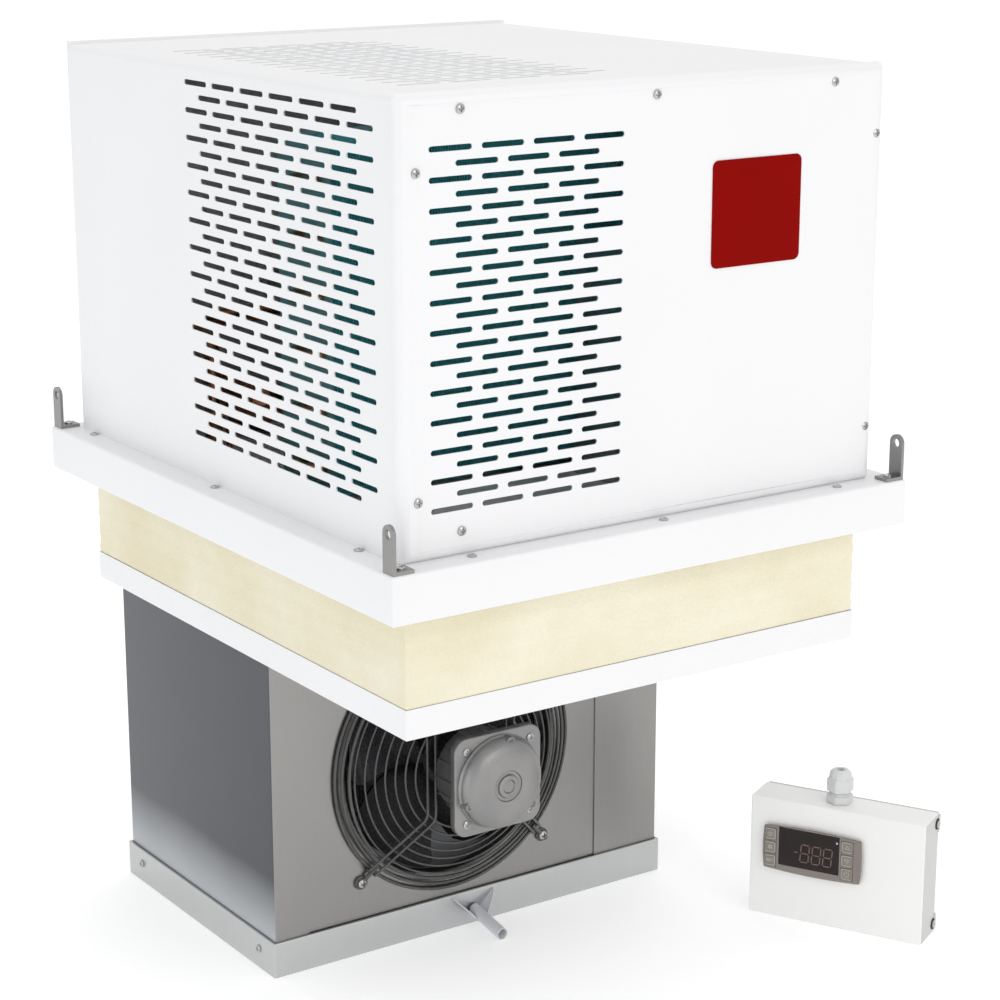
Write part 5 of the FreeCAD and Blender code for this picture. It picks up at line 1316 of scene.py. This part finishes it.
class UNIT_OT_drain(bpy.types.Operator):
    """Makes the drain: a folded funnel on the tray and its tube."""

    bl_idname = "unit.drain"
    bl_label = "Drain"

    def execute(self, context):
        low, high = corners("drain_spout")
        across, wall = (low[0] + high[0]) / 2, high[1]
        rise, tube_radius = 8 * MM, 6 * MM
        reach = high[1] - low[1]
        # The funnel's section opens from a half circle round the tube to a wide V at the tray
        share = np.linspace(0, 1, 12)[:, None]
        turn = np.linspace(-math.pi, 0, 21)[None, :]
        nose_x, nose_z = 7 * MM * np.cos(turn), 7 * MM * np.sin(turn)
        side = (turn + math.pi / 2) / (math.pi / 2)
        wall_x = 24.5 * MM * np.sign(side) * abs(side) ** 1.2
        wall_z = -7 * MM + 23 * MM * abs(side) ** 1.3
        ease = share**1.6
        x = wall_x * (1 - ease) + nose_x * ease
        z = wall_z * (1 - ease) + nose_z * ease
        drop = 5.5 * MM + 2 * MM * (1 - share)
        lip = np.stack([across + x, wall - 16 * MM * share + 0 * x, rise + z + drop], -1)
        piece("drain_funnel", flipped(form(lip, close_columns=False)), "drain_alloy",
              replaces=["drain_spout"], sheet=0.8 * MM)
        profile = rounded([(5 * MM, reach - 9 * MM), (5 * MM, reach), (tube_radius, reach),
                           (tube_radius, 3 * MM)], 0.5 * MM)
        points, faces = lathe(profile, 36)
        points[:, 1] += 9 * MM * (1 - points[:, 2] / reach)
        pipe = move((points, faces), FRONT, (across, wall, tube_radius + 1 * MM))
        piece("drain_tube", pipe, "drain_alloy")
        return {"FINISHED"}


class UNIT_OT_badge(bpy.types.Operator):
    """Makes the plain plate on the front, with softly rounded corners."""

    bl_idname = "unit.badge"
    bl_label = "Badge plate"

    def execute(self, context):
        low, high = corners("badge_plate")
        half = (high - low) / 2
        middle = (high + low) / 2
        plate = block(half[0], half[2], 0, 2 * half[1], 6 * MM, 0.4 * MM, 8)
        piece("badge_film_plate", move(plate, FRONT, (middle[0], high[1], middle[2])),
              "badge_film", replaces=["badge_plate"])
        return {"FINISHED"}


def control_axes(sizes):
    """Axes of the control box: X along its front, Y up and Z out of its front."""
    c, s = math.cos(sizes.turn), math.sin(sizes.turn)
    return np.array([[c, s, 0], [0, 0, 1], [s, -c, 0]]), np.array([sizes.x, sizes.y, 0])


class UNIT_OT_control_box(bpy.types.Operator):
    """Makes the wall box: the folded cover and the back tray behind it, with side screws."""

    bl_idname = "unit.control_box"
    bl_label = "Control box"

    def execute(self, context):
        sizes = context.scene.control_sizes
        axes, corner = control_axes(sizes)
        half_x, half_y = sizes.width / 2, sizes.height / 2
        middle = (half_x, half_y, 0)
        rim = sizes.cover_gap - sizes.depth
        profile = rounded([(-half_y, 0), (0, 0), (0, rim)], 2 * MM, 5)
        cover = move(skirt(profile, half_x, half_y, 2 * MM), place=middle)
        made = piece("control_shell", move(cover, axes, corner), "control_coat",
                     replaces=["control_cover"], sheet=1.2 * MM)
        # The box's right side gets the darker copy of its coat: painted shade
        finish_facing(made, "control_coat_painted_shade", axes[0])
        # The rim runs back further at the corners, as tabs that carry the screws
        tabs = []
        for hand in (-1, 1):
            for up in (-1, 1):
                near, far = half_y - 2.2 * MM, half_y - sizes.tab
                end = 0.6 * MM - sizes.depth
                run = rounded([(far, rim), (far + 2 * MM, end), (near, end), (near, rim)],
                              1.5 * MM)
                y, z = run.T
                edge = np.stack([np.full_like(y, half_x * hand), up * y, z], -1)
                base = edge * [1, 1, 0] + [0, 0, rim + 0.2 * MM]
                tabs.append(leaf(np.stack([base, edge]), np.array([1.2 * MM * hand, 0, 0])))
        tabs = move(join(tabs), place=middle)
        # The tabs and the back tray also take the darker copy of the coat: painted shade
        piece("control_tabs", move(tabs, axes, corner), "control_coat_painted_shade")
        back = block(half_x - 1.4 * MM, half_y - 0.8 * MM, -sizes.depth, 12 * MM - sizes.depth,
                     1.5 * MM, 0.8 * MM)
        piece("control_tray", move(move(back, place=middle), axes, corner), "control_coat_painted_shade",
              replaces=["control_back"])
        heads, washers = [], []
        for side, face in ((0, -1), (sizes.width, 1)):
            for up in (sizes.screw_inset, sizes.height - sizes.screw_inset):
                turned = np.array([[0, 1, 0], [0, 0, face], [face, 0, 0]], float)
                place = (side, up, sizes.screw_inset - sizes.depth)
                washer = lathe(rounded([(5.5 * MM, 0), (5.5 * MM, 1 * MM), (4 * MM, 1.2 * MM)],
                                       0.4 * MM), 28)
                washers.append(move(move(washer, turned, place), axes, corner))
                head = move(screw_head(7.5 * MM, 1.8 * MM), place=(0, 0, 0.6 * MM))
                heads.append(move(move(head, turned, place), axes, corner))
        piece("control_screw_heads", join(heads), "screw_zinc", replaces=["control_screws"])
        piece("control_washers", join(washers), "rubber")
        return {"FINISHED"}


def ribbon(path, width, rise=0.12 * MM, closed=False):
    """A flat bar along a path in X and Y, such as a printed line."""
    path = np.asarray(path, float)
    run = np.roll(path, -1, 0) - np.roll(path, 1, 0) if closed else np.gradient(path, axis=0)
    run /= np.linalg.norm(run, axis=1)[:, None]
    side = np.column_stack([-run[:, 1], run[:, 0]]) * width / 2
    left, right = path + side, path - side
    loops = [np.column_stack([edge, np.full(len(path), z)])
             for edge, z in ((left, 0), (left, rise), (right, rise), (right, 0))]
    rings = np.stack(loops, 1)
    if closed:
        return form(rings, close_rows=True)
    first, last = rings[:1].mean(1, keepdims=True), rings[-1:].mean(1, keepdims=True)
    return form(np.concatenate([np.repeat(first, 4, 1), rings, np.repeat(last, 4, 1)]))


def bow(radius, start, end, steps=17, centre=(0, 0)):
    """Points along part of a circle, its ends given in degrees."""
    angle = np.radians(np.linspace(start, end, steps))
    return np.column_stack([np.cos(angle), np.sin(angle)]) * radius + np.asarray(centre)


def line(*points):
    """A straight run of points, each span cut in three."""
    points = np.asarray(points, float) * MM
    at = np.arange(0, len(points) - 0.99, 1 / 3)
    return np.column_stack([np.interp(at, np.arange(len(points)), column) for column in points.T])


def key_marks(name):
    """The mark printed on a key, as paths in X and Y with whether each closes."""
    if name == "lamp":
        rays = [line(*(bow(r, a, a, 1)[0] for r in (2.5, 3.3))) for a in range(0, 360, 45)]
        return [(bow(1.5 * MM, 0, 345, 24), True)] + [(ray, False) for ray in rays]
    if name == "defrost":
        arms = [line(bow(-3.2, a, a, 1)[0], bow(3.2, a, a, 1)[0]) for a in (30, 90, 150)]
        return [(bow(1.7 * MM, 30, 330, 6), True)] + [(arm, False) for arm in arms]
    if name == "set":
        letters = ((-2.3, ((1, 1.3), (-0.9, 1.3), (-0.9, 0), (0.9, 0), (0.9, -1.3), (-1, -1.3))),
                   (0.3, ((1, 1.3), (-0.8, 1.3), (-0.8, -1.3), (1, -1.3))),
                   (0.3, ((-0.8, 0), (0.7, 0))), (2.7, ((-1.1, 1.3), (1.1, 1.3))),
                   (2.7, ((0, 1.3), (0, -1.3))))
        return [(line(*((x + at, y) for x, y in dots)), False) for at, dots in letters]
    if name == "power":
        return [(bow(2.5 * MM, 125, 415, 28), False), (line((0, 0.4), (0, 3.3)), False)]
    hand = 1 if name == "up" else -1
    return [(line((-2.4, -1.6 * hand), (0, 2 * hand), (2.4, -1.6 * hand), (-2.3, -1.6 * hand)),
             False)]


def figure(left, low, wide, tall):
    """The seven bars of an unlit figure, leaning a little to the right."""
    middle, right, high = low + tall / 2, left + wide, low + tall
    gap = 0.9
    bars = [((left + gap, y), (right - gap, y)) for y in (low, middle, high)]
    bars += [((x, y + gap), (x, y + tall / 2 - gap)) for x in (left, right) for y in (low, middle)]
    lean = [line(*((x + (y - low) * 0.08, y) for x, y in bar)) for bar in bars]
    return [ribbon(bar, 1.1 * MM, 0.06 * MM) for bar in lean]


def facia_form(sizes, keys):
    """The controller's plate: a grid with the window's and the keys' cells left open.

    The long edges bow by 2.2 mm and the short ones by 1.2 mm, the corners are round, and the
    height falls off along a quarter ellipse over the last 1 mm.
    """
    wide, tall, thick = sizes.facia_width, sizes.facia_height, sizes.facia_thick
    fall = np.array([0, 0.1, 0.3, 0.6, 1.0]) * MM
    room = sizes.key / 2 + 0.3 * MM
    left = -wide / 2 + sizes.window_left
    high = tall / 2 - sizes.window_drop
    holes = [(left, left + sizes.window_width, high - sizes.window_height, high)]
    holes += [(x - room, x + room, y - room, y + room) for x, y in keys]
    sides = np.array(holes)
    x = np.unique(np.round(np.concatenate([
        -wide / 2 + fall, -wide / 2 + np.array([2, 2.6]) * MM, wide / 2 - fall,
        wide / 2 - np.array([2, 2.6]) * MM, sides[:, 0], sides[:, 1],
        np.linspace(left, left + sizes.window_width, 15)]), 7))
    reach = wide / 2 - abs(x)
    round_off = 2.6 * MM - np.sqrt(np.clip(
        (2.6 * MM) ** 2 - np.clip(2.6 * MM - reach, 0, None) ** 2, 0, None))
    edge = tall / 2 - 2.2 * MM * (x / (wide / 2)) ** 2 - round_off
    inner = np.unique(np.round(np.concatenate([sides[:, 2], sides[:, 3]]), 7))
    flat = edge - fall[-1]
    rows = [-edge + f for f in fall] + [np.clip(y, -flat, flat) for y in inner]
    y = np.stack(rows + [edge - f for f in fall[::-1]])
    near = np.clip(np.minimum(reach[None], edge[None] - abs(y)) / fall[-1], 0, 1)
    z = thick - fall[-1] * (1 - np.sqrt(1 - (1 - near) ** 2))
    inset = 1.2 * MM * (y / edge) ** 2 * np.clip(1 - reach / (2.6 * MM), 0, 1)
    points = np.stack([x[None] - np.sign(x) * inset, y, z], -1)
    faces = grid_faces(*points.shape[:2])
    points = points.reshape(-1, 3)
    middle = points[faces].mean(1)
    hit = [(middle[:, 0] > a) & (middle[:, 0] < b) & (middle[:, 1] > c) & (middle[:, 1] < d)
           for a, b, c, d in holes]
    return points, faces[~np.any(hit, axis=0)]


class UNIT_OT_controller(bpy.types.Operator):
    """Makes the controller: a bowed facia, the dark window with its unlit figures, six keys."""

    bl_idname = "unit.controller"
    bl_label = "Controller"

    def execute(self, context):
        sizes = context.scene.control_sizes
        axes, corner = control_axes(sizes)
        wide, tall, thick = sizes.facia_width, sizes.facia_height, sizes.facia_thick
        centre = np.array([sizes.facia_left + wide / 2,
                           sizes.height - sizes.facia_drop - tall / 2, 0])
        columns = {-wide / 2 + sizes.key_left: ("lamp", "defrost", "set"),
                   wide / 2 - sizes.key_right: ("up", "down", "power")}
        keys = {name: (x, (1 - row) * sizes.key_pitch)
                for x, names in columns.items() for row, name in enumerate(names)}

        def set_in(part):
            return move(move(part, place=centre), axes, corner)

        plate = set_in(facia_form(sizes, list(keys.values())))
        piece("facia_plate", plate, "facia_plastic", replaces=["controller_facia"],
              outward=False, sharp=50, sheet=thick - 0.1 * MM)

        left = -wide / 2 + sizes.window_left
        high = tall / 2 - sizes.window_drop
        middle = (left + sizes.window_width / 2, high - sizes.window_height / 2, 0)
        glass = block(sizes.window_width / 2, sizes.window_height / 2, thick - 1.2 * MM,
                      thick + 0.1 * MM, 1.5 * MM, 0.35 * MM, 5)
        piece("window_pane", set_in(move(glass, place=middle)), "window_plastic",
              replaces=["display_window"])
        low = high / MM - 33
        bars = [bar for at in (22.4, 34.2, 46) for bar in figure(left / MM + at, low, 8.6, 18.4)]
        bars.append(ribbon(line((left / MM + 16.5, low + 9.2), (left / MM + 20, low + 9.2)),
                           1.1 * MM, 0.06 * MM))
        piece("window_figures", set_in(move(join(bars), place=(0, 0, thick + 0.1 * MM))),
              "figure_print")
        lamp = lathe(rounded([(1.1 * MM, 0), (1.1 * MM, 0.5 * MM), (0.1 * MM, 0.9 * MM)],
                             0.4 * MM), 20)
        place = (left + sizes.window_width - 2.6 * MM, high - 6.5 * MM, thick)
        piece("window_lamp", set_in(move(lamp, place=place)), "lamp_lens")

        half = sizes.key / 2
        for name, (x, y) in keys.items():
            body = "key_" + name
            cap = block(half, half, thick - 2.4 * MM, thick + 0.6 * MM, 1.2 * MM, 0.35 * MM, 4)
            piece(body + "_cap", set_in(move(cap, place=(x, y, 0))), "key_plastic", body,
                  replaces=[body])
            hand = 1 if x < 0 else -1
            frame_line = rounded([(-half * 0.8 * hand, half * 0.84), (half * 0.84 * hand, half * 0.84),
                                  (half * 0.84 * hand, -half * 0.84),
                                  (-half * 0.8 * hand, -half * 0.84)], 1.6 * MM)
            marks = [ribbon(frame_line, 0.55 * MM)]
            marks += [ribbon(path, 0.5 * MM, closed=shut) for path, shut in key_marks(name)]
            piece(body + "_print", set_in(move(join(marks), place=(x, y, thick + 0.55 * MM))),
                  "key_print", body, sharp=60)
        return {"FINISHED"}


def gland_form(across, tall, bore):
    """A cable gland: the radius is a hexagon's, a neck's or a ribbed dome's by its height.

    A hexagon's radius is its flat's distance over the cosine of the angle from the flat, cut
    at 96% of the corners; the dome's ribs are a high cosine of the angle.
    """
    angle = np.linspace(0, TURN, 96, endpoint=False)
    off = (angle + math.pi / 6) % (math.pi / 3) - math.pi / 6
    corner = across / 2
    flat = np.minimum(corner * math.cos(math.pi / 6) / np.cos(off), corner * 0.965)
    ribs = 1 + 0.035 * np.clip(np.cos(12 * angle), 0, 1)
    plain = np.ones_like(angle)
    stages = [(0, 0.93 * flat), (0.02, flat), (0.215, flat), (0.235, 0.95 * flat),
              (0.24, 0.76 * corner * plain), (0.30, 0.76 * corner * plain),
              (0.305, 0.7 * corner * plain), (0.345, 0.7 * corner * plain),
              (0.35, 0.93 * flat), (0.37, flat), (0.72, flat), (0.745, 0.94 * flat),
              (0.76, 0.80 * corner * ribs), (0.86, 0.79 * corner * ribs),
              (0.93, 0.72 * corner * ribs), (0.98, 0.58 * corner * plain),
              (1.0, 0.47 * corner * plain), (0.99, bore * plain), (0.8, bore * plain)]
    loops = [(r * np.cos(angle), r * np.sin(angle), np.full_like(angle, share * tall))
             for share, r in stages]
    loops = np.moveaxis(np.array(loops), 1, 2)
    ends = loops[[0, -1]] * [0, 0, 1]
    return form(np.concatenate([ends[:1], loops, ends[1:]]))


class UNIT_OT_glands(bpy.types.Operator):
    """Makes the two cable glands: a nut, a neck, a cap and a ribbed dome with its mouth."""

    bl_idname = "unit.glands"
    bl_label = "Cable glands"

    def execute(self, context):
        sizes = context.scene.control_sizes
        axes, corner = control_axes(sizes)
        upright = np.array([[1, 0, 0], [0, 0, -1], [0, 1, 0]], float)
        gland = gland_form(27 * MM, 34 * MM, 4 * MM)
        place = (sizes.gland_x, sizes.height, -sizes.depth / 2)
        piece("control_gland_body", move(move(gland, upright, place), axes, corner),
              "gland_plastic", replaces=["control_gland"])
        low, high = corners("power_gland")
        gland = gland_form(22 * MM, 22 * MM, 4.5 * MM)
        place = ((low[0] + high[0]) / 2, high[1] - 22 * MM, (low[2] + high[2]) / 2)
        piece("power_gland_body", move(gland, REAR, place), "gland_plastic",
              replaces=["power_gland"])
        return {"FINISHED"}


class UNIT_OT_stage(bpy.types.Operator):
    """Makes the floor, the lamps, the backdrop's colour and the camera."""

    bl_idname = "unit.stage"
    bl_label = "Stage"

    def execute(self, context):
        scene = context.scene
        scene.view_settings.view_transform = "Standard"
        mesh = bpy.data.meshes.new("floor")
        reach = 6.0
        mesh.from_pydata([(-reach, -reach, 0), (reach, -reach, 0), (reach, reach, 0),
                          (-reach, reach, 0)], [], [(0, 1, 2, 3)])
        floor = bpy.data.objects.new("floor", mesh)
        scene.collection.objects.link(floor)
        mesh.materials.append(bpy.data.materials.new("floor_paper"))
        mesh.materials[0].use_nodes = True
        shader = mesh.materials[0].node_tree.nodes["Principled BSDF"]
        shader.inputs["Base Color"].default_value = (0.86, 0.86, 0.86, 1)
        shader.inputs["Emission Color"].default_value = (*WHITE, 1)
        shader.inputs["Emission Strength"].default_value = 0.32
        shader.inputs["Roughness"].default_value = 0.9

        world = bpy.data.worlds.new("studio")
        scene.world = world
        world.use_nodes = True
        tree = world.node_tree
        background = tree.nodes["Background"]
        path = tree.nodes.new("ShaderNodeLightPath")
        # The backdrop is a little brighter where the camera sees it than as a light
        strength = tree.nodes.new("ShaderNodeMapRange")
        strength.inputs["To Min"].default_value = 0.86
        strength.inputs["To Max"].default_value = 1.05
        tree.links.new(path.outputs["Is Camera Ray"], strength.inputs["Value"])
        tree.links.new(strength.outputs["Result"], background.inputs["Strength"])
        background.inputs["Color"].default_value = (*WHITE, 1)

        for name, place, power, wide, shade in LAMPS:
            lamp = bpy.data.lights.new(name, "AREA")
            lamp.color = shade
            lamp.energy = power
            lamp.size = wide
            holder = bpy.data.objects.new(name, lamp)
            holder.location = place
            holder.rotation_euler = (AIM - Vector(place)).to_track_quat("-Z", "Y").to_euler()
            scene.collection.objects.link(holder)

        camera = bpy.data.cameras.new("camera")
        camera.sensor_width = CAMERA_WIDTH
        camera.lens = CAMERA_WIDTH * CAMERA_REACH
        camera.clip_end = 100
        holder = bpy.data.objects.new("camera", camera)
        level = math.cos(CAMERA_RISE)
        back = Vector((math.sin(CAMERA_TURN) * level, -math.cos(CAMERA_TURN) * level,
                       math.sin(CAMERA_RISE)))
        holder.rotation_euler = back.to_track_quat("Z", "Y").to_euler()
        holder.location = CAMERA_PLACE
        scene.collection.objects.link(holder)
        scene.camera = holder
        return {"FINISHED"}


PIECES = (UNIT_OT_housing, UNIT_OT_base, UNIT_OT_screws, UNIT_OT_fan_panel, UNIT_OT_box,
          UNIT_OT_guard, UNIT_OT_motor, UNIT_OT_fans, UNIT_OT_coils, UNIT_OT_compressor,
          UNIT_OT_pipes, UNIT_OT_drain, UNIT_OT_badge, UNIT_OT_control_box, UNIT_OT_controller,
          UNIT_OT_glands, UNIT_OT_stage)
GROUPS = {"housing_sizes": HousingSizes, "box_sizes": BoxSizes, "fan_sizes": FanSizes,
          "control_sizes": ControlSizes, "unit_colours": UnitColours}


class UNIT_PT_pieces(bpy.types.Panel):
    """Lists the unit's pieces and their sizes in the 3D view's sidebar."""

    bl_label = "Cooling unit"
    bl_space_type = "VIEW_3D"
    bl_region_type = "UI"
    bl_category = "Cooling unit"

    def draw(self, context):
        for kind in PIECES:
            self.layout.operator(kind.bl_idname)
        for name, kind in GROUPS.items():
            group = getattr(context.scene, name)
            for word in kind.__annotations__:
                self.layout.prop(group, word)


def register():
    for kind in (*GROUPS.values(), *PIECES, UNIT_PT_pieces):
        bpy.utils.register_class(kind)
    for name, kind in GROUPS.items():
        setattr(bpy.types.Scene, name, PointerProperty(type=kind))


def unregister():
    for name in GROUPS:
        delattr(bpy.types.Scene, name)
    for kind in reversed((*GROUPS.values(), *PIECES, UNIT_PT_pieces)):
        bpy.utils.unregister_class(kind)


def main():
    """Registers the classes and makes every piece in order."""
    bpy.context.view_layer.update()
    register()
    for kind in PIECES:
        group, name = kind.bl_idname.split(".")
        getattr(getattr(bpy.ops, group), name)()
    bpy.context.view_layer.update()


if __name__ == "__main__":
    main()
